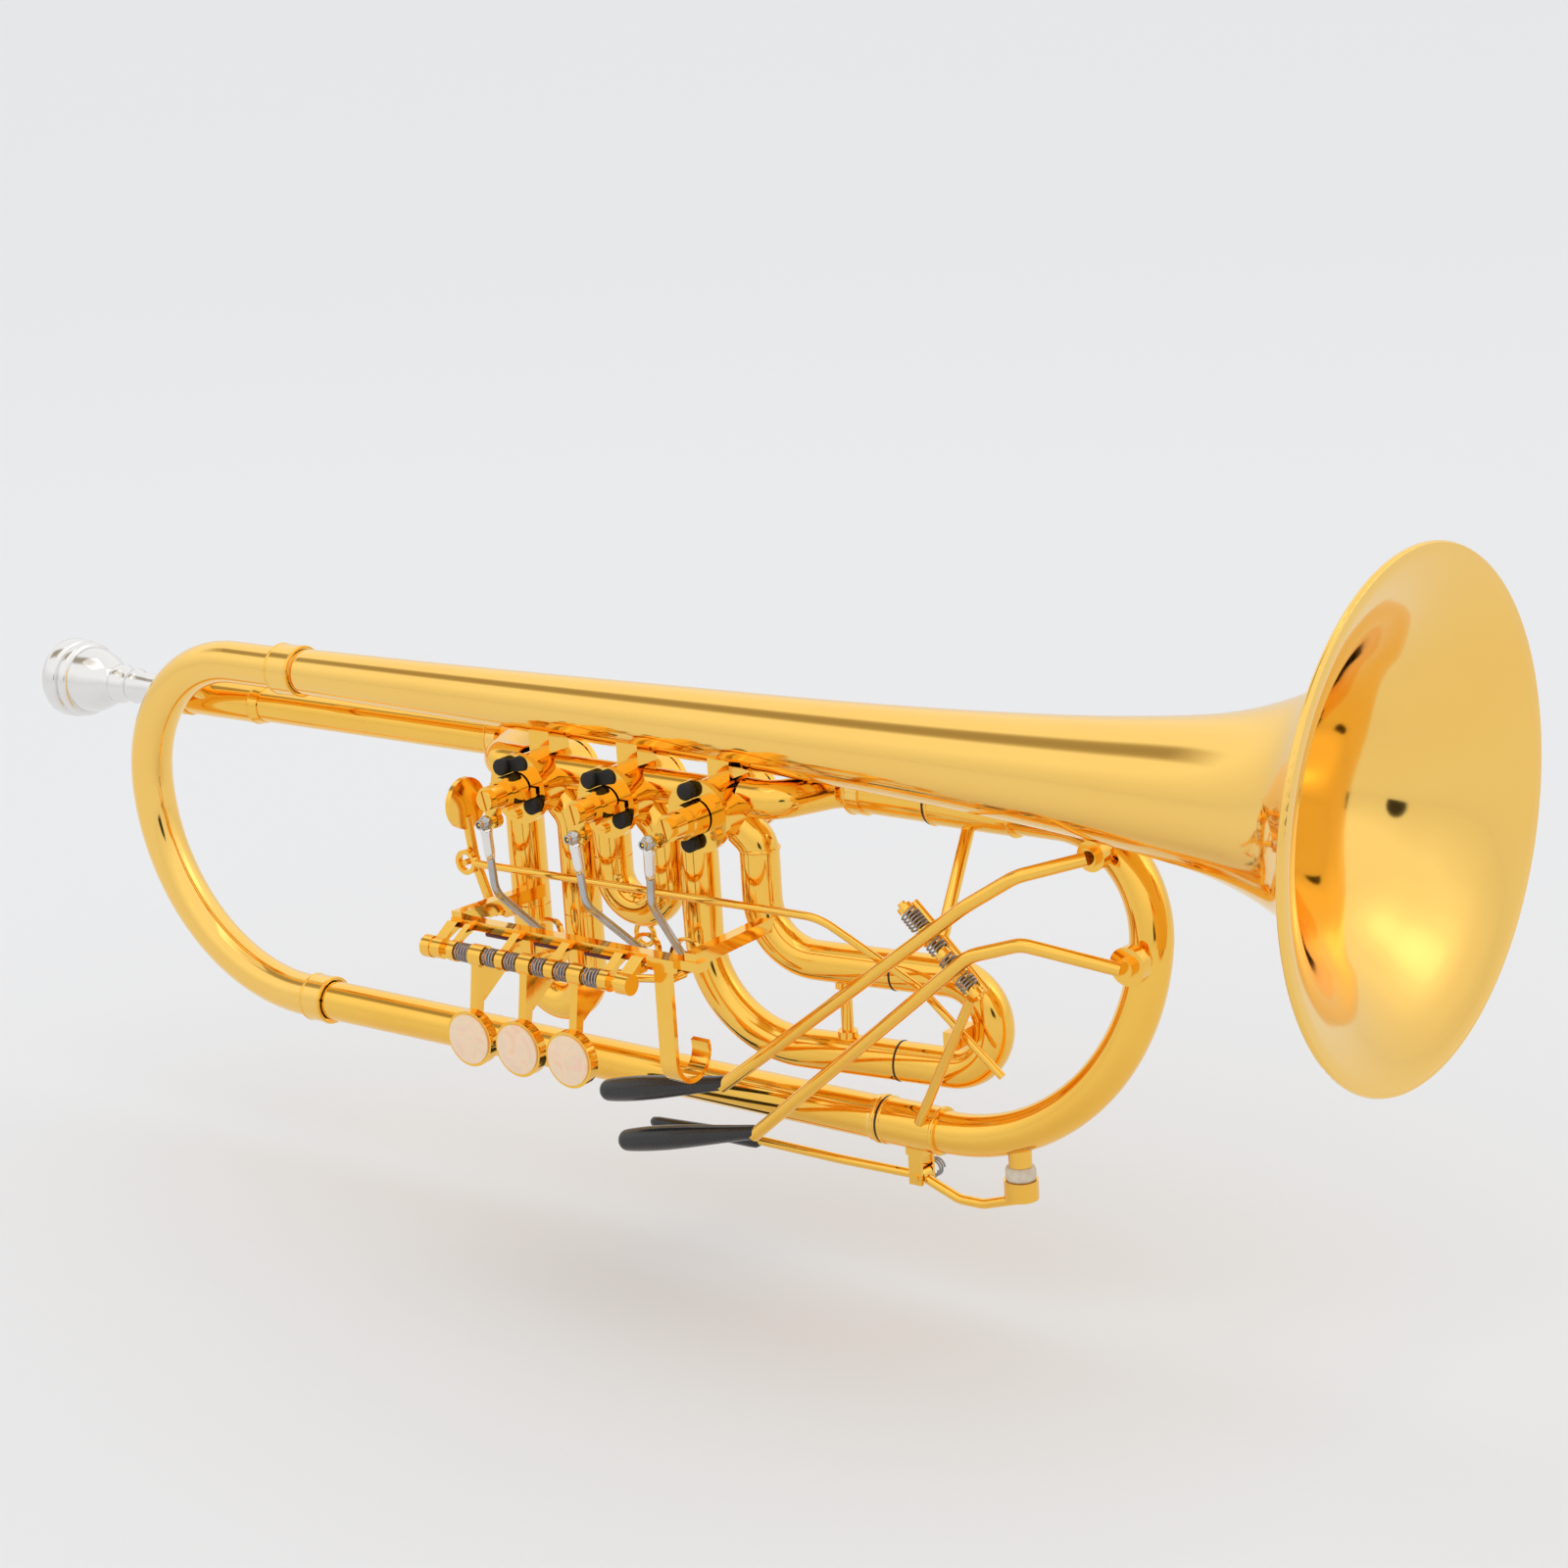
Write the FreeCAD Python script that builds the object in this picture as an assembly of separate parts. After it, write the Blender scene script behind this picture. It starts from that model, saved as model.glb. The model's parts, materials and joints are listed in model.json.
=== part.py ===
import FreeCAD, Part
import math
import os

# Rotary valve trumpet, played to the right along +X with the bell mouth at the origin.
# +Z is up, and -Y is the side that carries the finger levers and the stop arms.

# Bell, as distance behind the mouth and outside radius
BELL_RIM_RADIUS = 70.0
BELL_WALL = 0.7
BELL_END_X = -398.0
BELL_END_RADIUS = 7.3
BELL_CURVE = (
    (0.0, BELL_RIM_RADIUS), (-3.0, 61.0), (-8.0, 51.8), (-17.0, 41.6), (-30.0, 31.2),
    (-53.8, 22.5), (-86.2, 17.8), (-129.2, 14.5), (-183.1, 12.1), (-247.7, 10.4),
    (-323.0, 8.6), (BELL_END_X, BELL_END_RADIUS),
)
RIM_WIRE_RADIUS = 1.2
RIM_FACE_DEPTH = 0.2
RIM_LIP = 0.1
BELL_SECTIONS = (
    ("bell_flare", 0.0, -36.0), ("bell_throat", -36.0, -95.0),
    ("bell_stem_front", -95.0, -190.0), ("bell_stem_rear", -190.0, BELL_END_X),
)

# Main tubing
TUBE_RADIUS = 6.5
TUBE_BORE = 6.05
SLIDE_TUBE_RADIUS = 6.0
SLIDE_TUBE_BORE = 5.6
BOTTOM_Z = -111.6
LEADPIPE_Y = 14.3
LEADPIPE_Z = -17.8
LEADPIPE_RADIUS = 5.7
LEADPIPE_BORE = 5.2
LEADPIPE_END_X = -322.0
REAR_BOW_RADIUS = 6.9
REAR_BOW_BORE = 6.2
REAR_BOW_X = -473.0
REAR_BOW_TOP_BEND = 46.0
REAR_BOW_END_X = -400.0
OUTLET_SLEEVE_X = -184.0
JOG_BEND = 7.0
INLET_JOG_X = (-317.0, -307.0)
OUTLET_JOG_X = (-201.0, -192.0)

# Ferrules, as start, length, centre Y, centre Z, bore and wall
FERRULES = (
    (-405.0, 10.0, 0.0, 0.0, BELL_END_RADIUS + 0.1, 0.8),
    (-404.5, 9.0, 0.0, BOTTOM_Z, REAR_BOW_RADIUS, 0.8),
    (-327.0, 5.0, LEADPIPE_Y, LEADPIPE_Z, LEADPIPE_RADIUS, 0.8),
    (-187.5, 5.5, LEADPIPE_Y, LEADPIPE_Z, TUBE_RADIUS, 0.6),
    (-174.3, 3.0, 0.0, BOTTOM_Z, TUBE_RADIUS, 0.5),
)

# Main tuning slide at the front
FRONT_BOW_X = -86.0
FRONT_BOW_RADIUS = 6.2
FRONT_BOW_BORE = 5.5
FRONT_BOW_TOP_BEND = 31.0
UPPER_GAP_X = -159.0
UPPER_FERRULE_END_X = -130.0
LOWER_GAP_X = -171.0
LOWER_FERRULE_END_X = -149.0
LOWER_LEG_END_X = -151.0
SLIDE_FERRULE_RADIUS = 6.9
SLIDE_GAP = 0.3
UPPER_LEG_START_X = -183.5
LOWER_LEG_START_X = -206.0

# Mouthpiece and its receiver; profiles are distance from the rim face and radius
RIM_FACE_X = -527.0
MOUTHPIECE_END_X = -440.0
CUP_RIM = ((1.5, 8.4), (0.0, 10.8), (3.0, 13.6))
CUP_OUTSIDE = ((3.0, 13.6), (8.0, 13.2), (17.0, 10.6), (25.0, 7.6), (31.0, 6.0))
CUP_INSIDE = ((15.0, 3.2), (11.0, 6.0), (5.0, 7.9), (1.5, 8.4))
STEM_BEAD = ((34.0, 7.0), (37.0, 6.0))
SHANK_START = 44.0
SHANK_RADIUS = 5.0
SHANK_END_RADIUS = 4.45
SHANK_BORE = 3.9
THROAT_AT = 20.0
THROAT_RADIUS = 1.9
TAPER_FIT = 0.06
SEAT_CLEARANCE = 1.0
RECEIVER_START_X = -470.0
RECEIVER_END_X = -428.0
RECEIVER_RADIUS = 6.6
RECEIVER_END_RADIUS = 6.0
RECEIVER_BORE = 4.2
RECEIVER_STEP_BORE = 4.0
RECEIVER_RING_RADIUS = 7.2
RECEIVER_RING_LENGTH = 4.0
BRACE_X = -453.0
BRACE_RADIUS = 3.0
BRACE_TOP_Z = -9.0

# Rotary valves
VALVE_X = (-288.0, -253.5, -219.2)
VALVE_Z = -21.3
CASING_RADIUS = 9.6
CASING_BORE = 8.0
CASING_FRONT_Y = -17.5
CASING_BACK_Y = 5.5
ROTOR_RADIUS = 7.95
ROTOR_FRONT_Y = -17.3
ROTOR_BACK_Y = 3.2
ROTOR_PASSAGE_RADIUS = 3.5
ROTOR_PASSAGE_OFFSET = 4.3
PORT_Y = -6.0
PORT_RADIUS = 4.0
PORT_REACH = 12.0
PIPE_START = 8.8
INLET_ANGLE = 153.0
OUTLET_ANGLE = 27.0
LEFT_LEG_ANGLE = 225.0
RIGHT_LEG_ANGLE = 315.0
KNUCKLE_Z = -18.3
KNUCKLE_RADIUS = 5.2
KNUCKLE_BORE = 4.6
PLATE_RADIUS = 10.8
PLATE_THICKNESS = 2.0
REAR_CAP_LENGTH = 1.9
REAR_CAP_LIP = 0.3
SPINDLE_RADIUS = 3.0
REAR_SPINDLE_RADIUS = 2.0
RUNNING_FIT = 0.05
MERGE_GAP = 0.001
CORK_RADIUS = 2.6
CORK_LENGTH = 3.2
CORK_CIRCLE = 8.0
CORK_SPREAD = 31.0
HEART_SPREAD = 44.0
HEART_DEPTH = 0.8
HEART_POINT = 5.4
SCREW_RADIUS = 1.5
SCREW_HEAD = 1.3
SCREW_SPREAD = 35.0
SCREW_CIRCLE = 8.2
SCREW_SLOT = 0.5
SADDLE_HALF = 4.0
SADDLE_FRONT_Y = -8.5
SADDLE_BACK_Y = 0.5
SADDLE_TOP_Z = -6.0
SADDLE_RISE = 7.0

# Stop arms and links
STOP_HUB_RADIUS = 5.2
STOP_HUB_START_Y = -20.0
STOP_HUB_END_Y = -27.0
STOP_NECK_RADIUS = 4.0
STOP_ARM_Y = -33.0
STOP_ARM_THICKNESS = 2.2
STOP_ARM_HALF = 2.4
STOP_EYE_RADIUS = 2.6
TAB_START_Y = -25.0
TAB_END_Y = -20.4
TAB_HALF = 1.3
HEAD_LENGTH = 1.6
HEAD_RADIUS = 3.0
HEAD_SLOT = 0.7
HEAD_SLOT_TURN = 75.0
BALL_Y = -36.0
BALL_RADIUS = 2.2
BALL_STUD_RADIUS = 1.1
BALL_CIRCLE = 6.2
BALL_ANGLE = (281.0, 281.0, 220.0)
ROTOR_SWING = (90.0, 90.0, -90.0)
TAB_LEAD = (80.0, 80.0, 6.0)
LINK_RADIUS = 1.2
LINK_BEND = 8.0
LINK_BEND_Z = (-48.5, -47.5, -44.0)
LINK_BEND_SHARE = 0.25

# Valve slides
LEG_OFFSET = 10.4
LEG_START = 7.0
LEG_BEND = 8.0
SLEEVE_RADIUS = 5.9
SLEEVE_BORE = 5.45
INNER_LEG_RADIUS = 5.4
INNER_LEG_BORE = 5.0
FIRST_GAP_Z = -62.0
FIRST_BOW_Z = -92.1
FIRST_LEG_REACH = 12.0
SECOND_GAP_Z = -42.0
SECOND_BOW_Z = -57.1
SECOND_LEG_REACH = 7.0
PULL_RING_RADIUS = 3.4
PULL_RING_WIRE = 0.8
PULL_RING_DROP = 2.6
THIRD_UPPER_Z = -65.5
THIRD_LOWER_Z = -93.0
THIRD_UPPER_BEND = 17.5
THIRD_LOWER_BEND = 32.0
THIRD_GAP = 54.2
THIRD_BOW = 84.0
THIRD_YAW = 7.5
THIRD_LEG_REACH = 20.0
SLIDE_BRACE_AT = 36.5
SLIDE_BRACE_RADIUS = 1.8
SLIDE_BRACE_FOOT = 3.0

# Finger levers
AXLE_Y = -50.0
AXLE_Z = -63.5
AXLE_RADIUS = 1.6
AXLE_START_X = -298.0
AXLE_END_X = -222.0
AXLE_KNOB_X = -301.5
AXLE_KNOB_RADIUS = 3.4
LEVER_X = (-280.0, -261.0, -241.5)
LEVER_HUB_LENGTH = 5.0
LEVER_HUB_RADIUS = 3.3
LEVER_ARM_HALF = 1.4
LEVER_ARM = ((-52.4, AXLE_Z), (-48.4, AXLE_Z), (-52.6, -82.0), (-55.4, -82.0))
LEVER_WEB_HALF = 0.9
LEVER_WEB = ((-50.0, -64.6), (-33.0, -65.2), (-35.0, -67.2), (-50.5, -77.0))
LOW_BALL_X = (-279.1, -241.4, -226.2)
LOW_BALL_Z = (-65.3, -64.5, -63.7)
LOW_BALL_Y = -21.6
LOW_BALL_RADIUS = 1.6
TAIL_RADIUS = 1.2
TAIL_BEND = 3.0
TAIL_RISE_Y = -38.0
TAIL_KINK_Y = -27.0
TAIL_RING_RADIUS = 5.4
TAIL_RING_HOLE = 4.3
TAIL_RING_HALF = 0.9
TAIL_RING_BACK = 1.2
TAIL_RING_LEAN = 16.0
TOUCH_Z = -87.0
TOUCH_Y = -56.5
TOUCH_RADIUS = 8.5
TOUCH_DEPTH = 2.0
TOUCH_RIM = 1.2
PEARL_RADIUS = 7.5
PEARL_SEAT = 0.2
PEARL_EDGE = 1.4
PEARL_RISE = 1.0
PEARL_DOME_RADIUS = 40.0

# Lever frame
RAIL_Z = -59.2
RAIL_HEIGHT = 2.8
RAIL_X = (-298.0, -203.0)
RAIL_Y = (-42.6, -38.4)
FRAME_ARM_HEIGHT = 4.0
LEFT_ARM = ((-298.0, -42.0), (-294.0, -42.0), (-290.5, -8.0), (-294.5, -8.0))
LEFT_ARM_Z = -58.5
RIGHT_ARM = (
    (-208.5, -42.0, -58.0), (-204.5, -42.0, -58.0), (-202.5, -5.0, -56.5), (-206.5, -5.0, -56.5),
)
BARRELS = (
    (-298.0, -294.0), (-291.0, -288.6), (-272.0, -269.0), (-252.9, -249.6),
    (-232.7, -229.5), (-226.5, -222.0),
)
BARREL_RADIUS = 3.1
CHEEK = ((-52.0, -62.0), (-48.0, -61.0), (-40.0, -58.0), (-44.0, -57.0))
FELT_HALF = 5.0
FELT_DEPTH = 1.5
FELT_Y = (-42.4, -38.6)
HOOK_X = (-219.0, -213.0)
HOOK_Y = (-43.5, -42.0)
HOOK_TOP_Z = -57.0
HOOK_CURL_Z = -88.0
HOOK_CURL_Y = -35.5
HOOK_CURL = 200.0
HOOK_FOOT = (-221.0, -211.0, -44.2, -42.6, -60.2, -56.4)

# Springs
SPRING_WIRE_RADIUS = 0.3
SPRING_RADIUS = 2.55
SPRING_PITCH = 1.05
SPRING_CHECK_STEPS = 24
LEVER_SPRINGS = (
    (-288.3, -282.9), (-277.1, -272.3), (-268.7, -263.9), (-258.1, -253.2),
    (-249.3, -244.4), (-238.6, -233.1),
)
KEY_SPRINGS = ((1.9, 8.2), (13.0, 16.3), (18.7, 20.9), (25.7, 30.0))
WATER_SPRING_Y = 4.2
WATER_SPRING_LENGTH = 4.0

# Trigger of the third slide
TRIGGER_PIVOT = (-303.0, -19.0, -60.5)
TRIGGER_EYE = (-308.5, -19.0, -46.0)
TRIGGER_DISC = (-309.0, -20.5, -28.0)
TRIGGER_DISC_RADIUS = 8.0
TRIGGER_DISC_HALF = 0.9
TRIGGER_ARM_RADIUS = 1.6
TRIGGER_ARM_BEND = 12.0
TRIGGER_BOSS_RADIUS = 3.0
TRIGGER_BOSS_HALF = 1.8
TRIGGER_PIN_RADIUS = 1.2
EYE_PIN_RADIUS = 1.0
EYE_PIN_Y = (-4.6, 1.5)
FORK_CLEAR_RADIUS = 4.0
FORK_CLEAR_HALF = 2.1
FORK_PIN_HALF = 3.4
FORK_X = (-304.5, -298.5)
FORK_Y = ((-22.4, -21.4), (-16.6, -15.6))
FORK_Z = (-62.0, -59.0)
FORK_BRIDGE = (-298.8, -296.0, -22.4, -15.6, -61.5, -57.0)
ROD_RADIUS = 1.2
ROD_LOOP_DROP_Y = 3.6
ROD_LOOP_RADIUS = 3.9
ROD_LOOP_HOLE = 2.6
ROD_LOOP_HALF = 0.9
ROD_START_GAP = 3.3
ROD_CORNERS = ((-176.0, -21.0, -45.0), (-152.0, -7.6, -66.0), (-126.0, -6.2, -88.6))
ROD_BENDS = (12.0, 10.0)
ROD_BLOCK_AT = (78.0, -85.0)
ROD_BLOCK_HALF = 2.2
ROD_BLOCK_Y = -8.6
ROD_BLOCK_Z = (-82.5, -77.5)

# Vent keys, with places along their axle measured from its upper end
KEY_START = (-151.5, -14.0, -40.1)
KEY_END = (-127.7, -14.0, -62.8)
KEY_AXLE_RADIUS = 1.2
KEY_AXLE_ENDS = (-1.2, 33.8)
KEY_ROD_RADIUS = 2.0
KEY_HUB_RADIUS = 2.7
KEY_HUB_A = 10.6
KEY_HUB_B = 23.3
KEY_HUB_LENGTH = 4.2
KEY_BRIDGE = (0.2, 32.6)
KEY_BRIDGE_Y = 4.6
KEY_BRIDGE_RADIUS = 1.5
KEY_FEET = ((0.0, 1.6), (16.6, 18.4), (31.0, 32.9))
KEY_FOOT_RADIUS = 2.3
KEY_NECK_START_Y = 1.7
KEY_NECK_INSET = 0.15
UPPER_POST_SEAT = (-146.7, LEADPIPE_Y - 1.0, LEADPIPE_Z - 4.0)
UPPER_POST_AT = 13.0
UPPER_POST_RADIUS = 1.9
LOWER_POST_SEAT = (-156.0, -5.6, BOTTOM_Z + 3.6)
LOWER_POST_AT = 32.4
LOWER_POST_Y = -2.8
LOWER_POST_RADIUS = 1.5
UPPER_VENT = (-99.0, 4.2, -22.7)
UPPER_VENT_BOW_Y = 13.2
UPPER_VENT_RADIUS = 3.2
LOWER_VENT_BOW_Z = -51.0
LOWER_VENT_Y = 0.2
LOWER_VENT_RADIUS = 3.6
VENT_BORE = 1.6
VENT_GAP = 0.35
CUP_DEPTH = 3.4
CUP_CAP = 2.0
CUP_CAP_RADIUS = 2.8
UPPER_CUP_RADIUS = 4.4
LOWER_CUP_RADIUS = 5.5
UPPER_KEY_PATH = (
    (-218.2, -17.5, -104.1), (-128.5, -17.5, -36.0), (-114.0, -13.5, -26.5), (-99.0, -1.6, -22.7),
)
UPPER_KEY_BENDS = (18.0, 10.0)
UPPER_GRIP = ((-216.0, -17.5, -102.6), (-262.0, -18.0, -113.0))
LOWER_KEY_PATH = (
    (-207.5, -17.5, -117.5), (-127.6, -17.5, -49.9), (-112.0, -15.0, -45.0), (-86.4, -5.8, -51.0),
)
LOWER_KEY_BENDS = (14.0, 8.0)
LOWER_GRIP = ((-205.6, -17.5, -116.0), (-256.0, -18.0, -128.0))
GRIP_TANG_RADIUS = 1.3
GRIP_TANG_SHORT = 8.0
GRIP_BUTT_GAP = 1.5
GRIP_RADII = (2.4, 3.9, 3.0)
GRIP_WIDEST = 0.55

# Water key
WATER_PIVOT = (-160.0, 0.0, -126.5)
WATER_NIPPLE_X = -126.0
WATER_NIPPLE_RADIUS = 3.4
WATER_NIPPLE_BORE = 1.4
WATER_NIPPLE_END_Z = -117.3
WATER_PAD_Z = -117.4
WATER_PAD_RADIUS = 4.5
WATER_CUP_Z = (-121.4, -127.2)
WATER_CUP_RADIUS = 5.0
WATER_HUB_RADIUS = 2.4
WATER_HUB_HALF = 2.1
WATER_PIN_RADIUS = 1.1
WATER_PIN_HALF = 3.9
WATER_CHEEK_Y = (-3.4, 2.4)
WATER_CHEEK_THICKNESS = 1.0
WATER_CHEEK_HALF = 2.2
WATER_CHEEK_TOP_Z = BOTTOM_Z - 4.5
WATER_FOOT_HALF = 3.0
WATER_FOOT_Y = 3.4
WATER_FOOT_Z = BOTTOM_Z - 8.2
WATER_ARM_DROP = 0.4
WATER_ARM_PATH = ((-217.0, -3.5, -125.6), (-186.0, -3.0, -126.0), (-161.0, 0.0, -126.9))
WATER_ARM_BEND = 20.0
WATER_ARM_RADIUS = 1.4
WATER_FRONT_PATH = ((-147.0, 0.0, -131.6), (-139.0, 0.3, -131.6))
WATER_FRONT_END_Z = -127.5
WATER_FRONT_BEND = 8.0
WATER_FRONT_RADIUS = 1.5
WATER_TANG = ((-252.0, -4.0, -126.8), (-216.0, -3.5, -125.6))
WATER_TANG_RADIUS = 1.1
WATER_GRIP = ((-258.0, -4.1, -127.0), (-216.5, -3.5, -125.6))
WATER_GRIP_RADIUS = 2.6


def vec(x, y, z):
    return FreeCAD.Vector(x, y, z)


def unit(v):
    return FreeCAD.Vector(v).normalize()


AXIS_X = vec(1, 0, 0)
AXIS_Y = vec(0, 1, 0)
AXIS_Z = vec(0, 0, 1)
made = {}


def cylinder(start, end, radius, bore=0.0):
    """A round bar, or a tube where a bore is given, from one point to another."""
    way = end - start
    solid = Part.makeCylinder(radius, way.Length, start, way)
    if bore:
        solid = solid.cut(Part.makeCylinder(bore, way.Length, start, way))
    return solid


def along_x(x0, x1, y, z, radius, bore=0.0):
    return cylinder(vec(x0, y, z), vec(x1, y, z), radius, bore)


def across(centre, half, radius, bore=0.0):
    """A round bar along Y through a centre."""
    return cylinder(centre - vec(0, half, 0), centre + vec(0, half, 0), radius, bore)


def join(solids):
    solids = list(solids)
    if len(solids) == 1:
        return solids[0]
    return solids[0].multiFuse(solids[1:]).removeSplitter()


def rod(points, bends, radius):
    """A round bar along straight runs joined by tangent arcs."""
    pieces = []
    start = points[0]
    for index, bend in enumerate(bends):
        corner = points[index + 1]
        before = unit(corner - points[index])
        after = unit(points[index + 2] - corner)
        turn = before.getAngle(after)
        trim = bend * math.tan(turn / 2)
        arc_start = corner - before * trim
        axis = unit(before.cross(after))
        centre = arc_start + axis.cross(before) * bend
        if (arc_start - start).Length > MERGE_GAP:
            pieces.append(cylinder(start, arc_start, radius))
        disc = Part.Face(Part.Wire(Part.makeCircle(radius, arc_start, before)))
        pieces.append(disc.revolve(centre, axis, math.degrees(turn)))
        start = corner + after * trim
    if (points[-1] - start).Length > MERGE_GAP:
        pieces.append(cylinder(start, points[-1], radius))
    return join(pieces)


def tube(points, bends, radius, bore):
    return rod(points, bends, radius).cut(rod(points, bends, bore))


def lowest(shape):
    return min(shape.Solids, key=lambda solid: solid.CenterOfMass.z)


def largest(shape):
    return max(shape.Solids, key=lambda solid: solid.Volume)


def box(x0, x1, y0, y1, z0, z1):
    return Part.makeBox(x1 - x0, y1 - y0, z1 - z0, vec(x0, y0, z0))


def slab(points, thickness_way):
    """A flat plate with the given corner points, pushed out along a vector."""
    face = Part.Face(Part.makePolygon(list(points) + [points[0]]))
    return face.extrude(thickness_way)


def side_plate(outline, x0, x1):
    """A flat plate across X with an outline of Y and Z places."""
    return slab([vec(x0, y, z) for y, z in outline], vec(x1 - x0, 0, 0))


def turned(profile, axis_point, axis_way):
    """A turned solid from a closed list of edges."""
    return Part.Face(Part.Wire(profile)).revolve(axis_point, axis_way, 360)


def line(a, b):
    return Part.LineSegment(a, b).toShape()


def curve(points):
    spline = Part.BSplineCurve()
    spline.interpolate(points)
    return spline.toShape()


def half_arc(start, control, end):
    """The arc whose end tangents meet at the control point."""
    weight = (end - start).Length / (2 * (control - start).Length)
    middle = (start + control * (2 * weight) + end) * (1 / (2 * (1 + weight)))
    return Part.Arc(start, middle, end).toShape()


def biarc(start, start_way, end, end_way):
    """Two tangent arcs from one point and direction to another."""
    gap = end - start
    ways = start_way + end_way
    lean = gap.dot(ways)
    spread = 2 * (1 - start_way.dot(end_way))
    reach = (-lean + math.sqrt(lean * lean + spread * gap.dot(gap))) / spread
    first = start + start_way * reach
    second = end - end_way * reach
    middle = (first + second) * 0.5
    return [half_arc(start, first, middle), half_arc(middle, second, end)]


def coil(start, way, length, label):
    """A spring of one unbroken wire round an axis, laid in quarter turns."""
    along = unit(way)
    side = AXIS_X if abs(along.dot(AXIS_Y)) > 0.9 else unit(along.cross(AXIS_Y))
    other = along.cross(side)
    rise = length - 2 * SPRING_WIRE_RADIUS
    turns = math.floor(rise / SPRING_PITCH * 4) / 4
    pitch = rise / turns
    slope = pitch / (2 * math.pi)

    def place(angle):
        flat = side * math.cos(angle) + other * math.sin(angle)
        return start + along * (SPRING_WIRE_RADIUS + slope * angle) + flat * SPRING_RADIUS

    def heading(angle):
        flat = other * math.cos(angle) - side * math.sin(angle)
        return unit(flat * SPRING_RADIUS + along * slope)

    edges = []
    for quarter in range(int(turns * 4)):
        a0 = quarter * math.pi / 2
        a1 = a0 + math.pi / 2
        edges += biarc(place(a0), heading(a0), place(a1), heading(a1))
    mouth = Part.Wire(Part.makeCircle(SPRING_WIRE_RADIUS, place(0), heading(0)))
    wire = Part.Wire(edges).makePipeShell([mouth], True, False)
    steps = SPRING_CHECK_STEPS
    path = [place(2 * math.pi * i / steps) for i in range(int(turns * steps) + 1)]
    gaps = []
    for i, point in enumerate(path):
        gaps += [(later - point).Length for later in path[i + steps // 2:]]
    print(label, "turns", turns, "least gap", round(min(gaps) - 2 * SPRING_WIRE_RADIUS, 2))
    return wire


def gather(name, solids):
    """Store separate solids as one sub-part."""
    made[name] = Part.makeCompound(list(solids))


def valve_point(index, angle, radius, y):
    turn = math.radians(angle)
    x = VALVE_X[index] + radius * math.cos(turn)
    return vec(x, y, VALVE_Z + radius * math.sin(turn))


def casing_body(index):
    """The solid outline of a valve casing, for cutting tubes to it."""
    x = VALVE_X[index]
    return cylinder(vec(x, CASING_FRONT_Y, VALVE_Z), vec(x, CASING_BACK_Y, VALVE_Z), CASING_RADIUS)


def key_point(along, dy=0.0):
    start = vec(*KEY_START)
    return start + unit(vec(*KEY_END) - start) * along + vec(0, dy, 0)


def third_point(along, z):
    yaw = math.radians(THIRD_YAW)
    return vec(VALVE_X[2] + along * math.cos(yaw), PORT_Y + along * math.sin(yaw), z)


def bow_plane():
    """Length of the front bow's slanted plane from its top run to its lower run."""
    return math.hypot(LEADPIPE_Z - BOTTOM_Z, LEADPIPE_Y)


def front_bow_at_height(z):
    """Centre of the lower, wide arc of the front bow at a height."""
    low_bend = bow_plane() - FRONT_BOW_TOP_BEND
    share = (z - BOTTOM_Z) / (LEADPIPE_Z - BOTTOM_Z)
    drop = share * bow_plane() - low_bend
    x = FRONT_BOW_X - low_bend + math.sqrt(low_bend ** 2 - drop ** 2)
    return vec(x, LEADPIPE_Y * share, z)


def front_bow_underside(x):
    """Centre of the lower, wide arc of the front bow at a place along X."""
    low_bend = bow_plane() - FRONT_BOW_TOP_BEND
    rise = low_bend - math.sqrt(low_bend ** 2 - (x - FRONT_BOW_X + low_bend) ** 2)
    z = BOTTOM_Z + rise
    return vec(x, LEADPIPE_Y * (z - BOTTOM_Z) / (LEADPIPE_Z - BOTTOM_Z), z)


def make_bell():
    outside = [vec(x, 0, r) for x, r in BELL_CURVE]
    inside = []
    for i, point in enumerate(outside):
        ahead = outside[max(i - 1, 0)]
        behind = outside[min(i + 1, len(outside) - 1)]
        way = unit(ahead - behind)
        inside.append(point + vec(way.z, 0, -way.x) * BELL_WALL)
    inside[0] = vec(BELL_WALL / 2, 0, BELL_RIM_RADIUS - RIM_LIP)
    inside[-1] = vec(BELL_END_X, 0, BELL_END_RADIUS - BELL_WALL)
    profile = [
        curve(outside), line(outside[-1], inside[-1]),
        curve(inside[::-1]), line(inside[0], outside[0]),
    ]
    behind_mouth = along_x(BELL_END_X, 0, 0, 0, BELL_RIM_RADIUS + 2 * RIM_WIRE_RADIUS)
    shell = turned(profile, vec(0, 0, 0), AXIS_X).common(behind_mouth)
    bead = Part.makeTorus(BELL_RIM_RADIUS - RIM_WIRE_RADIUS / 2, RIM_WIRE_RADIUS,
                          vec(RIM_FACE_DEPTH - RIM_WIRE_RADIUS, 0, 0), AXIS_X)
    made["bell_rim_wire"] = bead.common(behind_mouth)
    shell = shell.cut(made["bell_rim_wire"])
    for name, x0, x1 in BELL_SECTIONS:
        made[name] = shell.common(along_x(x1, x0, 0, 0, BELL_RIM_RADIUS + 2 * RIM_WIRE_RADIUS))
    return shell


def rear_bow_path():
    return [vec(BELL_END_X, 0, 0), vec(REAR_BOW_X, 0, 0),
            vec(REAR_BOW_X, 0, BOTTOM_Z), vec(REAR_BOW_END_X, 0, BOTTOM_Z)]


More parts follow.
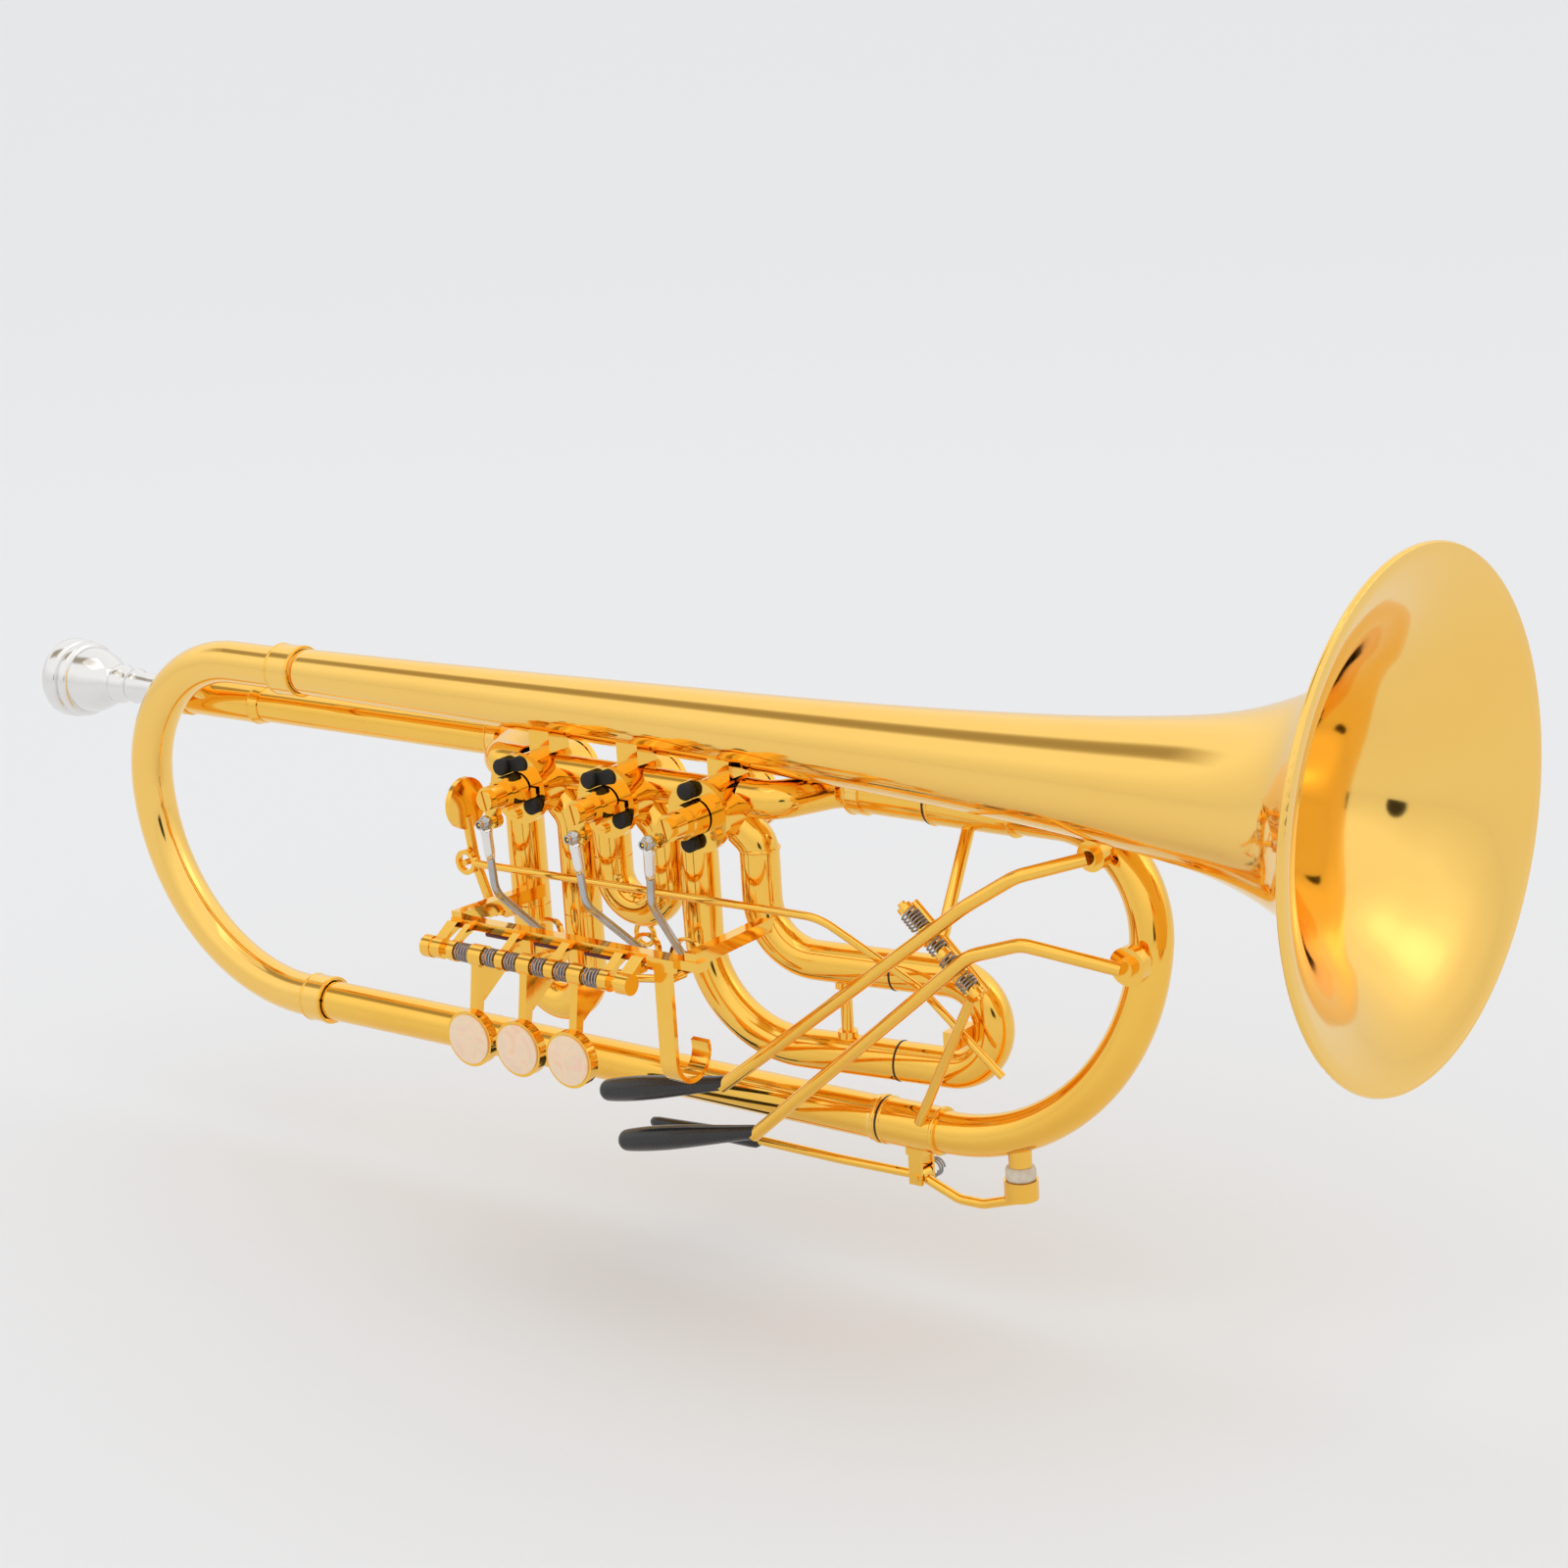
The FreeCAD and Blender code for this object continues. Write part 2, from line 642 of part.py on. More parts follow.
def make_main_tubing(bell):
    bends = [REAR_BOW_TOP_BEND, -BOTTOM_Z - REAR_BOW_TOP_BEND]
    made["rear_bow"] = tube(rear_bow_path(), bends, REAR_BOW_RADIUS, REAR_BOW_BORE)
    bottom = along_x(REAR_BOW_END_X, LOWER_GAP_X - SLIDE_GAP, 0, BOTTOM_Z, TUBE_RADIUS, TUBE_BORE)
    sleeve = along_x(OUTLET_SLEEVE_X, UPPER_GAP_X - SLIDE_GAP, LEADPIPE_Y, LEADPIPE_Z,
                     TUBE_RADIUS, TUBE_BORE)
    gather("main_tubes", [bottom, sleeve])
    inlet_x = valve_point(0, INLET_ANGLE, PIPE_START, PORT_Y).x
    outlet_x = valve_point(2, OUTLET_ANGLE, PIPE_START, PORT_Y).x
    lead = [(RECEIVER_END_X, LEADPIPE_Y), (INLET_JOG_X[0], LEADPIPE_Y),
            (INLET_JOG_X[1], PORT_Y), (inlet_x, PORT_Y)]
    outlet = [(outlet_x, PORT_Y), (OUTLET_JOG_X[0], PORT_Y),
              (OUTLET_JOG_X[1], LEADPIPE_Y), (OUTLET_SLEEVE_X, LEADPIPE_Y)]
    for name, path, valve in (("leadpipe", lead, 0), ("outlet_bend", outlet, 2)):
        points = [vec(x, y, LEADPIPE_Z) for x, y in path]
        pipe = tube(points, [JOG_BEND, JOG_BEND], LEADPIPE_RADIUS, LEADPIPE_BORE)
        made[name] = pipe.cut(casing_body(valve))
    rings = []
    for x, length, y, z, bore, wall in FERRULES:
        rings.append(along_x(x, x + length, y, z, bore + wall, bore).cut(bell))
    gather("ferrules", rings)


def make_mouthpiece():
    centre = vec(0, LEADPIPE_Y, LEADPIPE_Z)

    def at(x, radius):
        return vec(RIM_FACE_X + x, LEADPIPE_Y, LEADPIPE_Z + radius)

    shank = MOUTHPIECE_END_X - RIM_FACE_X
    stem = [CUP_OUTSIDE[-1], *STEM_BEAD, (SHANK_START, SHANK_RADIUS), (shank, SHANK_END_RADIUS),
            (shank, SHANK_BORE), (THROAT_AT, THROAT_RADIUS), CUP_INSIDE[0]]
    profile = [Part.Arc(*[at(*point) for point in CUP_RIM]).toShape()]
    profile.append(curve([at(*point) for point in CUP_OUTSIDE]))
    profile += [line(at(*a), at(*b)) for a, b in zip(stem, stem[1:])]
    profile.append(curve([at(*point) for point in CUP_INSIDE]))
    made["mouthpiece"] = turned(profile, centre, AXIS_X)

    slope = (SHANK_RADIUS - SHANK_END_RADIUS) / (shank - SHANK_START)
    mouth = RECEIVER_START_X - RIM_FACE_X
    seat = shank + SEAT_CLEARANCE
    end = RECEIVER_END_X - RIM_FACE_X
    ring_end = mouth + RECEIVER_RING_LENGTH
    mouth_bore = SHANK_RADIUS - slope * (mouth - SHANK_START) + TAPER_FIT
    seat_bore = SHANK_END_RADIUS - slope * SEAT_CLEARANCE + TAPER_FIT
    corners = [
        (mouth, mouth_bore), (mouth, RECEIVER_RING_RADIUS), (ring_end, RECEIVER_RING_RADIUS),
        (ring_end + 1, RECEIVER_RADIUS), (end - 3, RECEIVER_RADIUS), (end, RECEIVER_END_RADIUS),
        (end, RECEIVER_BORE), (seat, RECEIVER_STEP_BORE), (seat, seat_bore),
    ]
    edges = [line(at(*a), at(*b)) for a, b in zip(corners, corners[1:] + corners[:1])]
    made["mouthpiece_receiver"] = turned(edges, centre, AXIS_X)
    brace = cylinder(vec(BRACE_X, 0, BRACE_TOP_Z), vec(BRACE_X, LEADPIPE_Y, LEADPIPE_Z), BRACE_RADIUS)
    core = along_x(RECEIVER_START_X, RECEIVER_END_X, LEADPIPE_Y, LEADPIPE_Z, RECEIVER_RADIUS)
    bow = rod(rear_bow_path()[:3], [REAR_BOW_TOP_BEND], REAR_BOW_RADIUS)
    made["braces"] = brace.cut(core).cut(bow)


def make_casing(i):
    x = VALVE_X[i]
    front = vec(x, CASING_FRONT_Y, VALVE_Z)
    back = vec(x, CASING_BACK_Y, VALVE_Z)
    bore_end = vec(x, ROTOR_BACK_Y + 0.1, VALVE_Z)
    casing = casing_body(i).cut(cylinder(front, bore_end, CASING_BORE))
    casing = casing.cut(cylinder(front, back, REAR_SPINDLE_RADIUS + RUNNING_FIT))
    for reach in (PORT_REACH, -PORT_REACH):
        casing = casing.cut(along_x(x, x + reach, PORT_Y, KNUCKLE_Z, PORT_RADIUS))
    for angle in (LEFT_LEG_ANGLE, RIGHT_LEG_ANGLE):
        mouth = valve_point(i, angle, PORT_REACH, PORT_Y)
        casing = casing.cut(cylinder(vec(x, PORT_Y, VALVE_Z), mouth, PORT_RADIUS))
    return casing


def heart_pad(index, angle, y):
    """The thin second lobe and point that make a heart of the upper stop cork."""
    depth = vec(0, -HEART_DEPTH, 0)
    lobe = valve_point(index, angle - HEART_SPREAD, CORK_CIRCLE, y)
    point = valve_point(index, angle - HEART_SPREAD / 2, HEART_POINT, y)
    left = valve_point(index, angle + 8, CORK_CIRCLE - 2.2, y)
    right = valve_point(index, angle - HEART_SPREAD - 8, CORK_CIRCLE - 2.2, y)
    top = valve_point(index, angle - HEART_SPREAD / 2, CORK_CIRCLE + 0.4, y)
    return [cylinder(lobe, lobe + depth, CORK_RADIUS), slab([left, point, right, top], depth)]


def make_valves(bell):
    plate_y = CASING_FRONT_Y - PLATE_THICKNESS
    plates = []
    caps = []
    corks = []
    screws = []
    saddles = []
    for i, x in enumerate(VALVE_X):
        front = vec(x, CASING_FRONT_Y, VALVE_Z)
        back = vec(x, CASING_BACK_Y, VALVE_Z)
        plates.append(cylinder(front, vec(x, plate_y, VALVE_Z), PLATE_RADIUS, SPINDLE_RADIUS + RUNNING_FIT))
        caps.append(cylinder(back, back + vec(0, REAR_CAP_LENGTH, 0), CASING_RADIUS + REAR_CAP_LIP))
        swing = ROTOR_SWING[i]
        tab = BALL_ANGLE[i] + TAB_LEAD[i]
        spread = math.copysign(CORK_SPREAD, swing)
        for angle in (tab - spread, tab + swing + spread):
            foot = valve_point(i, angle, CORK_CIRCLE, plate_y)
            corks.append(cylinder(foot, foot - vec(0, CORK_LENGTH, 0), CORK_RADIUS))
        if swing > 0:
            corks[-1] = join([corks[-1], *heart_pad(i, tab + swing + spread, plate_y)])
        opposite = tab + swing / 2 + 180
        for angle in (opposite - SCREW_SPREAD, opposite + SCREW_SPREAD):
            foot = valve_point(i, angle, SCREW_CIRCLE, plate_y)
            head = cylinder(foot, foot - vec(0, SCREW_HEAD, 0), SCREW_RADIUS)
            slot = box(foot.x - 2, foot.x + 2, plate_y - 2, plate_y - 0.9,
                       foot.z - SCREW_SLOT / 2, foot.z + SCREW_SLOT / 2)
            screws.append(head.cut(slot))
        saddle = box(x - SADDLE_HALF, x + SADDLE_HALF, SADDLE_FRONT_Y, SADDLE_BACK_Y,
                     VALVE_Z + SADDLE_RISE, SADDLE_TOP_Z)
        saddles.append(lowest(saddle.cut(casing_body(i)).cut(bell)))
    gather("valve_casings", [make_casing(i) for i in range(3)])
    gather("valve_plates", plates + caps)
    gather("stop_corks", corks)
    gather("plate_screws", screws)
    gather("bell_saddles", saddles)
    knuckles = []
    for i in range(2):
        knuckle = along_x(VALVE_X[i], VALVE_X[i + 1], PORT_Y, KNUCKLE_Z, KNUCKLE_RADIUS, KNUCKLE_BORE)
        knuckles.append(knuckle.cut(casing_body(i)).cut(casing_body(i + 1)))
    gather("valve_knuckles", knuckles)


def make_rotor(i):
    x = VALVE_X[i]
    centre = vec(x, 0, VALVE_Z)
    front = vec(x, ROTOR_FRONT_Y, VALVE_Z)
    back = vec(x, ROTOR_BACK_Y, VALVE_Z)
    body = cylinder(front, back, ROTOR_RADIUS)
    for offset in (ROTOR_PASSAGE_OFFSET, -ROTOR_PASSAGE_OFFSET):
        body = body.cut(along_x(x - PORT_REACH, x + PORT_REACH, PORT_Y, VALVE_Z + offset,
                                ROTOR_PASSAGE_RADIUS))
    rear = cylinder(back, vec(x, CASING_BACK_Y - 0.3, VALVE_Z), REAR_SPINDLE_RADIUS)
    nose = cylinder(front, vec(x, STOP_HUB_START_Y, VALVE_Z), SPINDLE_RADIUS)
    made[f"rotor_{i + 1}"] = join([body, rear, nose])

    hub_end = vec(x, STOP_HUB_END_Y, VALVE_Z)
    hub_front = vec(x, STOP_ARM_Y, VALVE_Z)
    hub = cylinder(vec(x, STOP_HUB_START_Y, VALVE_Z), hub_end, STOP_HUB_RADIUS)
    neck = cylinder(hub_end, hub_front, STOP_NECK_RADIUS)
    tab = box(x, x + CORK_CIRCLE, TAB_START_Y, TAB_END_Y, VALVE_Z - TAB_HALF, VALVE_Z + TAB_HALF)
    tab.rotate(centre, AXIS_Y, -BALL_ANGLE[i] - TAB_LEAD[i])
    ball = valve_point(i, BALL_ANGLE[i], BALL_CIRCLE, BALL_Y)
    seat = valve_point(i, BALL_ANGLE[i], BALL_CIRCLE, STOP_ARM_Y)
    eye = cylinder(seat + vec(0, STOP_ARM_THICKNESS, 0), seat, STOP_EYE_RADIUS)
    bar = box(x, x + BALL_CIRCLE, STOP_ARM_Y, STOP_ARM_Y + STOP_ARM_THICKNESS,
              VALVE_Z - STOP_ARM_HALF, VALVE_Z + STOP_ARM_HALF)
    bar.rotate(centre, AXIS_Y, -BALL_ANGLE[i])
    stud = cylinder(seat, ball - vec(0, BALL_RADIUS + 0.6, 0), BALL_STUD_RADIUS)
    arm = join([hub, neck, tab, eye, bar, stud])
    head = cylinder(hub_front, hub_front - vec(0, HEAD_LENGTH, 0), HEAD_RADIUS)
    groove = box(x - 4, x + 4, STOP_ARM_Y - 2, STOP_ARM_Y - 1,
                 VALVE_Z - HEAD_SLOT / 2, VALVE_Z + HEAD_SLOT / 2)
    groove.rotate(centre, AXIS_Y, HEAD_SLOT_TURN)
    room_for_ball = cylinder(seat, ball - vec(0, 3, 0), BALL_RADIUS + 0.4)
    gather(f"stop_arm_{i + 1}", [arm, head.cut(groove).cut(room_for_ball)])


def make_link(i):
    ball = valve_point(i, BALL_ANGLE[i], BALL_CIRCLE, BALL_Y)
    low = vec(LOW_BALL_X[i], LOW_BALL_Y, LOW_BALL_Z[i])
    bend = vec(ball.x + (low.x - ball.x) * LINK_BEND_SHARE, BALL_Y, LINK_BEND_Z[i])
    shaft = rod([ball, bend, low], [LINK_BEND], LINK_RADIUS)
    link = join([shaft, Part.makeSphere(BALL_RADIUS, ball), Part.makeSphere(LOW_BALL_RADIUS, low)])
    made[f"link_{i + 1}"] = link.cut(across(ball, 2 * BALL_RADIUS, BALL_STUD_RADIUS + RUNNING_FIT))


def make_lever(i):
    x = LEVER_X[i]
    half = LEVER_HUB_LENGTH / 2
    hub = along_x(x - half, x + half, AXLE_Y, AXLE_Z, LEVER_HUB_RADIUS)
    arm = side_plate(LEVER_ARM, x - LEVER_ARM_HALF, x + LEVER_ARM_HALF)
    web = side_plate(LEVER_WEB, x - LEVER_WEB_HALF, x + LEVER_WEB_HALF)
    ring_centre = vec(LOW_BALL_X[i], LOW_BALL_Y, LOW_BALL_Z[i])
    tail_z = ring_centre.z - TAIL_RING_RADIUS - 0.2
    tail = rod([vec(x, AXLE_Y, AXLE_Z - 1.2), vec(x, TAIL_RISE_Y, tail_z + 1.5),
                vec(ring_centre.x - 0.05, TAIL_KINK_Y, tail_z), vec(ring_centre.x, LOW_BALL_Y, tail_z)],
               [TAIL_BEND, TAIL_BEND], TAIL_RADIUS)
    socket = across(ring_centre + vec(0, TAIL_RING_BACK, 0), TAIL_RING_HALF, TAIL_RING_RADIUS, TAIL_RING_HOLE)
    socket.rotate(ring_centre, AXIS_X, -TAIL_RING_LEAN)
    seat_y = TOUCH_Y - PEARL_SEAT
    cup = cylinder(vec(x, TOUCH_Y + TOUCH_DEPTH, TOUCH_Z), vec(x, TOUCH_Y - TOUCH_RIM, TOUCH_Z), TOUCH_RADIUS)
    recess = cylinder(vec(x, seat_y, TOUCH_Z), vec(x, TOUCH_Y - TOUCH_RIM - 0.1, TOUCH_Z), PEARL_RADIUS)
    lever = join([hub, arm, web, tail, socket, cup]).cut(recess)
    lever = lever.cut(along_x(x - half - 1, x + half + 1, AXLE_Y, AXLE_Z, AXLE_RADIUS + RUNNING_FIT))
    made[f"lever_{i + 1}"] = lever
    edge = vec(x, TOUCH_Y - PEARL_EDGE, TOUCH_Z)
    disc = cylinder(vec(x, seat_y, TOUCH_Z), edge, PEARL_RADIUS)
    dome = Part.makeSphere(PEARL_DOME_RADIUS, edge + vec(0, PEARL_DOME_RADIUS - PEARL_RISE, 0))
    crown = cylinder(edge, edge - vec(0, 2 * PEARL_RISE, 0), PEARL_RADIUS)
    made[f"lever_pearl_{i + 1}"] = join([disc, crown.common(dome)])


def make_lever_frame():
    rail = box(*RAIL_X, *RAIL_Y, RAIL_Z, RAIL_Z + RAIL_HEIGHT)
    left_arm = slab([vec(x, y, LEFT_ARM_Z) for x, y in LEFT_ARM], vec(0, 0, FRAME_ARM_HEIGHT))
    right_arm = slab([vec(*corner) for corner in RIGHT_ARM], vec(0, 0, FRAME_ARM_HEIGHT))
    pieces = [rail, left_arm, right_arm]
    for x0, x1 in BARRELS:
        pieces += [along_x(x0, x1, AXLE_Y, AXLE_Z, BARREL_RADIUS), side_plate(CHEEK, x0, x1)]
    pivot = vec(*TRIGGER_PIVOT)
    pieces.append(cylinder(pivot + vec(5.5, 0, 0), pivot + vec(10.0, 0, 1.5), 2.6))
    pieces.append(cylinder(pivot + vec(6.0, 0, 2.5), pivot, 1.6))
    frame = join(pieces)
    frame = frame.cut(along_x(AXLE_START_X - 1, AXLE_END_X + 2, AXLE_Y, AXLE_Z, AXLE_RADIUS))
    frame = frame.cut(across(pivot, FORK_CLEAR_HALF, FORK_CLEAR_RADIUS))
    forks = [box(*FORK_X, *ends, *FORK_Z) for ends in FORK_Y]
    frame = join([frame, across(pivot, FORK_PIN_HALF, TRIGGER_PIN_RADIUS), *forks, box(*FORK_BRIDGE)])
    leg_x = VALVE_X[0] - LEG_OFFSET
    leg = cylinder(vec(leg_x, PORT_Y, VALVE_Z), vec(leg_x, PORT_Y, FIRST_GAP_Z), SLEEVE_RADIUS)
    frame = frame.cut(leg).cut(made["third_slide_sleeves"]).cut(made["valve_slide_sleeves"])
    made["lever_frame"] = largest(frame)
    felts = [box(x - FELT_HALF, x + FELT_HALF, *FELT_Y, RAIL_Z - FELT_DEPTH, RAIL_Z) for x in LEVER_X]
    gather("stop_felts", [felt.cut(made["lever_frame"]) for felt in felts])
    axle = along_x(AXLE_START_X, AXLE_END_X, AXLE_Y, AXLE_Z, AXLE_RADIUS)
    knob = along_x(AXLE_KNOB_X, AXLE_START_X, AXLE_Y, AXLE_Z, AXLE_KNOB_RADIUS)
    made["lever_axle"] = join([axle, knob])
    start = vec(0, AXLE_Y, AXLE_Z)
    gather("lever_springs", [coil(start + vec(x0, 0, 0), AXIS_X, x1 - x0, "lever spring")
                             for x0, x1 in LEVER_SPRINGS])


def make_little_finger_hook():
    strap = box(*HOOK_X, *HOOK_Y, HOOK_CURL_Z, HOOK_TOP_Z)
    corners = [vec(x, y, HOOK_CURL_Z) for x, y in (
        (HOOK_X[0], HOOK_Y[0]), (HOOK_X[1], HOOK_Y[0]), (HOOK_X[1], HOOK_Y[1]), (HOOK_X[0], HOOK_Y[1]))]
    end = Part.Face(Part.makePolygon(corners + corners[:1]))
    curl = end.revolve(vec(HOOK_X[0], HOOK_CURL_Y, HOOK_CURL_Z), AXIS_X, HOOK_CURL)
    hook = join([strap, curl, box(*HOOK_FOOT)])
    made["pinky_hook"] = hook.cut(made["lever_frame"])


def u_bend(left, right, arc_z, top_z, radius):
    """A round bar bent to a U, with both legs rising to the same height."""
    mouth = Part.Face(Part.Wire(Part.makeCircle(radius, vec(left, PORT_Y, arc_z), AXIS_Z)))
    bend = mouth.revolve(vec((left + right) / 2, PORT_Y, arc_z), AXIS_Y, -180)
    legs = [cylinder(vec(x, PORT_Y, arc_z), vec(x, PORT_Y, top_z), radius) for x in (left, right)]
    return join([bend] + legs)


def seated(sleeve, index):
    """A sleeve cut clear of its casing and of the tubes that meet the same casing."""
    sleeve = sleeve.cut(casing_body(index))
    for name in ("leadpipe", "outlet_bend", "valve_knuckles"):
        sleeve = sleeve.cut(made[name])
    return largest(sleeve)


def make_short_slide(name, index, gap_z, bow_z, reach):
    """The sleeves and the U-shaped slide of the first or second valve."""
    x = VALVE_X[index]
    sleeves = []
    for angle in (LEFT_LEG_ANGLE, RIGHT_LEG_ANGLE):
        elbow = valve_point(index, angle, LEG_OFFSET * math.sqrt(2), PORT_Y)
        path = [valve_point(index, angle, LEG_START, PORT_Y), elbow,
                vec(elbow.x, PORT_Y, gap_z + SLIDE_GAP)]
        sleeves.append(seated(tube(path, [LEG_BEND], SLEEVE_RADIUS, SLEEVE_BORE), index))
    before = made["valve_slide_sleeves"].Solids if "valve_slide_sleeves" in made else []
    gather("valve_slide_sleeves", before + sleeves)
    ends = (x - LEG_OFFSET, x + LEG_OFFSET)
    arc_z = bow_z + LEG_OFFSET
    outer = u_bend(*ends, arc_z, gap_z, SLEEVE_RADIUS)
    legs = [cylinder(vec(end, PORT_Y, gap_z), vec(end, PORT_Y, gap_z + reach), INNER_LEG_RADIUS)
            for end in ends]
    bore = u_bend(*ends, arc_z, gap_z + reach, INNER_LEG_BORE)
    solids = [join([outer] + legs).cut(bore)]
    if name == "second":
        low = vec(x, PORT_Y, bow_z - SLEEVE_RADIUS - PULL_RING_DROP)
        pull_ring = Part.makeTorus(PULL_RING_RADIUS, PULL_RING_WIRE, low, AXIS_Y)
        solids.append(largest(pull_ring.cut(outer)))
    gather(f"{name}_slide", solids)


def make_third_slide():
    elbow_z = VALVE_Z - LEG_OFFSET
    sleeves = []
    for angle, offset, z, bend in (
            (LEFT_LEG_ANGLE, -LEG_OFFSET, THIRD_LOWER_Z, THIRD_LOWER_BEND),
            (RIGHT_LEG_ANGLE, LEG_OFFSET, THIRD_UPPER_Z, THIRD_UPPER_BEND)):
        path = [valve_point(2, angle, LEG_START, PORT_Y), third_point(offset, elbow_z),
                third_point(offset, z), third_point(THIRD_GAP - SLIDE_GAP, z)]
        sleeves.append(seated(tube(path, [LEG_BEND, bend], SLEEVE_RADIUS, SLEEVE_BORE), 2))
    gather("third_slide_sleeves", sleeves)
    corners = [third_point(THIRD_GAP, THIRD_UPPER_Z), third_point(THIRD_BOW, THIRD_UPPER_Z),
               third_point(THIRD_BOW, THIRD_LOWER_Z), third_point(THIRD_GAP, THIRD_LOWER_Z)]
    bend = (THIRD_UPPER_Z - THIRD_LOWER_Z) / 2
    pieces = [tube(corners, [bend, bend], SLEEVE_RADIUS, INNER_LEG_BORE)]
    for z in (THIRD_UPPER_Z, THIRD_LOWER_Z):
        pieces.append(cylinder(third_point(THIRD_GAP, z), third_point(THIRD_GAP - THIRD_LEG_REACH, z),
                               INNER_LEG_RADIUS, INNER_LEG_BORE))
    made["third_slide"] = join(pieces)
    at = SLIDE_BRACE_AT
    brace = join([
        cylinder(third_point(at, THIRD_UPPER_Z), third_point(at, THIRD_LOWER_Z), SLIDE_BRACE_RADIUS),
        cylinder(third_point(at, THIRD_UPPER_Z - 5), third_point(at, THIRD_UPPER_Z - 7.2), SLIDE_BRACE_FOOT),
        cylinder(third_point(at, THIRD_LOWER_Z + 5), third_point(at, THIRD_LOWER_Z + 7.2), SLIDE_BRACE_FOOT),
    ])
    for z in (THIRD_UPPER_Z, THIRD_LOWER_Z):
        brace = brace.cut(cylinder(third_point(at - 16, z), third_point(at + 16, z), SLEEVE_RADIUS))
    gather("braces", [made["braces"], brace])


def make_trigger():
    pivot = vec(*TRIGGER_PIVOT)
    eye = vec(*TRIGGER_EYE)
    disc = vec(*TRIGGER_DISC)
    boss = across(pivot, TRIGGER_BOSS_HALF, TRIGGER_BOSS_RADIUS)
    arm = rod([pivot, eye, disc - vec(0, 0, 4)], [TRIGGER_ARM_BEND], TRIGGER_ARM_RADIUS)
    pin = cylinder(eye + vec(0, EYE_PIN_Y[0], 0), eye + vec(0, EYE_PIN_Y[1], 0), EYE_PIN_RADIUS)
    plate = cylinder(disc - vec(TRIGGER_DISC_HALF, 0, 0), disc + vec(TRIGGER_DISC_HALF, 0, 0),
                     TRIGGER_DISC_RADIUS)
    lever = join([boss, arm, pin, plate])
    pin_hole = across(pivot, TRIGGER_BOSS_HALF + 1.2, TRIGGER_PIN_RADIUS + RUNNING_FIT)
    made["trigger_lever"] = lever.cut(pin_hole)
    loop_centre = eye - vec(0, ROD_LOOP_DROP_Y, 0)
    loop = across(loop_centre, ROD_LOOP_HALF, ROD_LOOP_RADIUS, ROD_LOOP_HOLE)
    path = [loop_centre + vec(ROD_START_GAP, 0, 0)] + [vec(*corner) for corner in ROD_CORNERS]
    shaft = rod(path, ROD_BENDS, ROD_RADIUS)
    near = third_point(*ROD_BLOCK_AT)
    block = box(near.x - ROD_BLOCK_HALF, near.x + ROD_BLOCK_HALF, ROD_BLOCK_Y, near.y - 2, *ROD_BLOCK_Z)
    block = largest(block.cut(made["third_slide"]).cut(shaft))
    gather("trigger_rod", [join([shaft, loop]), block])


def make_main_slide():
    bow = [vec(UPPER_FERRULE_END_X, LEADPIPE_Y, LEADPIPE_Z), vec(FRONT_BOW_X, LEADPIPE_Y, LEADPIPE_Z),
           vec(FRONT_BOW_X, 0, BOTTOM_Z), vec(LOWER_LEG_END_X, 0, BOTTOM_Z)]
    bends = [FRONT_BOW_TOP_BEND, bow_plane() - FRONT_BOW_TOP_BEND]
    made["main_slide_bow"] = tube(bow, bends, FRONT_BOW_RADIUS, FRONT_BOW_BORE)
    legs = []
    for gap_x, start_x, end_x, y, z in (
            (UPPER_GAP_X, UPPER_LEG_START_X, UPPER_FERRULE_END_X, LEADPIPE_Y, LEADPIPE_Z),
            (LOWER_GAP_X, LOWER_LEG_START_X, LOWER_LEG_END_X, 0, BOTTOM_Z)):
        leg = along_x(start_x, end_x, y, z, SLIDE_TUBE_RADIUS, SLIDE_TUBE_BORE)
        ferrule = along_x(gap_x, end_x, y, z, SLIDE_FERRULE_RADIUS, SLIDE_TUBE_BORE)
        legs.append(join([leg, ferrule]))
    gather("main_slide_legs", legs)


def make_key_stand():
    """The posts, axle and springs that carry both vent keys."""
    parts = [cylinder(key_point(KEY_BRIDGE[0], KEY_BRIDGE_Y), key_point(KEY_BRIDGE[1], KEY_BRIDGE_Y),
                      KEY_BRIDGE_RADIUS)]
    for a0, a1 in KEY_FEET:
        middle = (a0 + a1) / 2
        parts.append(cylinder(key_point(a0), key_point(a1), KEY_FOOT_RADIUS, KEY_AXLE_RADIUS))
        parts.append(cylinder(key_point(middle, KEY_NECK_START_Y), key_point(middle, KEY_BRIDGE_Y),
                              (a1 - a0) / 2 - KEY_NECK_INSET))
    parts.append(cylinder(vec(*UPPER_POST_SEAT), key_point(UPPER_POST_AT, KEY_BRIDGE_Y), UPPER_POST_RADIUS))
    parts.append(cylinder(vec(*LOWER_POST_SEAT), key_point(LOWER_POST_AT, LOWER_POST_Y), LOWER_POST_RADIUS))
    posts = join(parts)
    posts = posts.cut(along_x(UPPER_GAP_X, UPPER_FERRULE_END_X, LEADPIPE_Y, LEADPIPE_Z, SLIDE_FERRULE_RADIUS))
    posts = posts.cut(along_x(LOWER_GAP_X, LOWER_FERRULE_END_X, 0, BOTTOM_Z, SLIDE_FERRULE_RADIUS))
    made["key_posts"] = posts
    made["key_axle"] = cylinder(key_point(KEY_AXLE_ENDS[0]), key_point(KEY_AXLE_ENDS[1]), KEY_AXLE_RADIUS)
    way = key_point(1) - key_point(0)
    springs = [coil(key_point(a0), way, a1 - a0, "key spring") for a0, a1 in KEY_SPRINGS]
    pivot = vec(*WATER_PIVOT)
    springs.append(coil(pivot + vec(0, WATER_SPRING_Y, 0), AXIS_Y, WATER_SPRING_LENGTH, "water key spring"))
    gather("key_springs", springs)


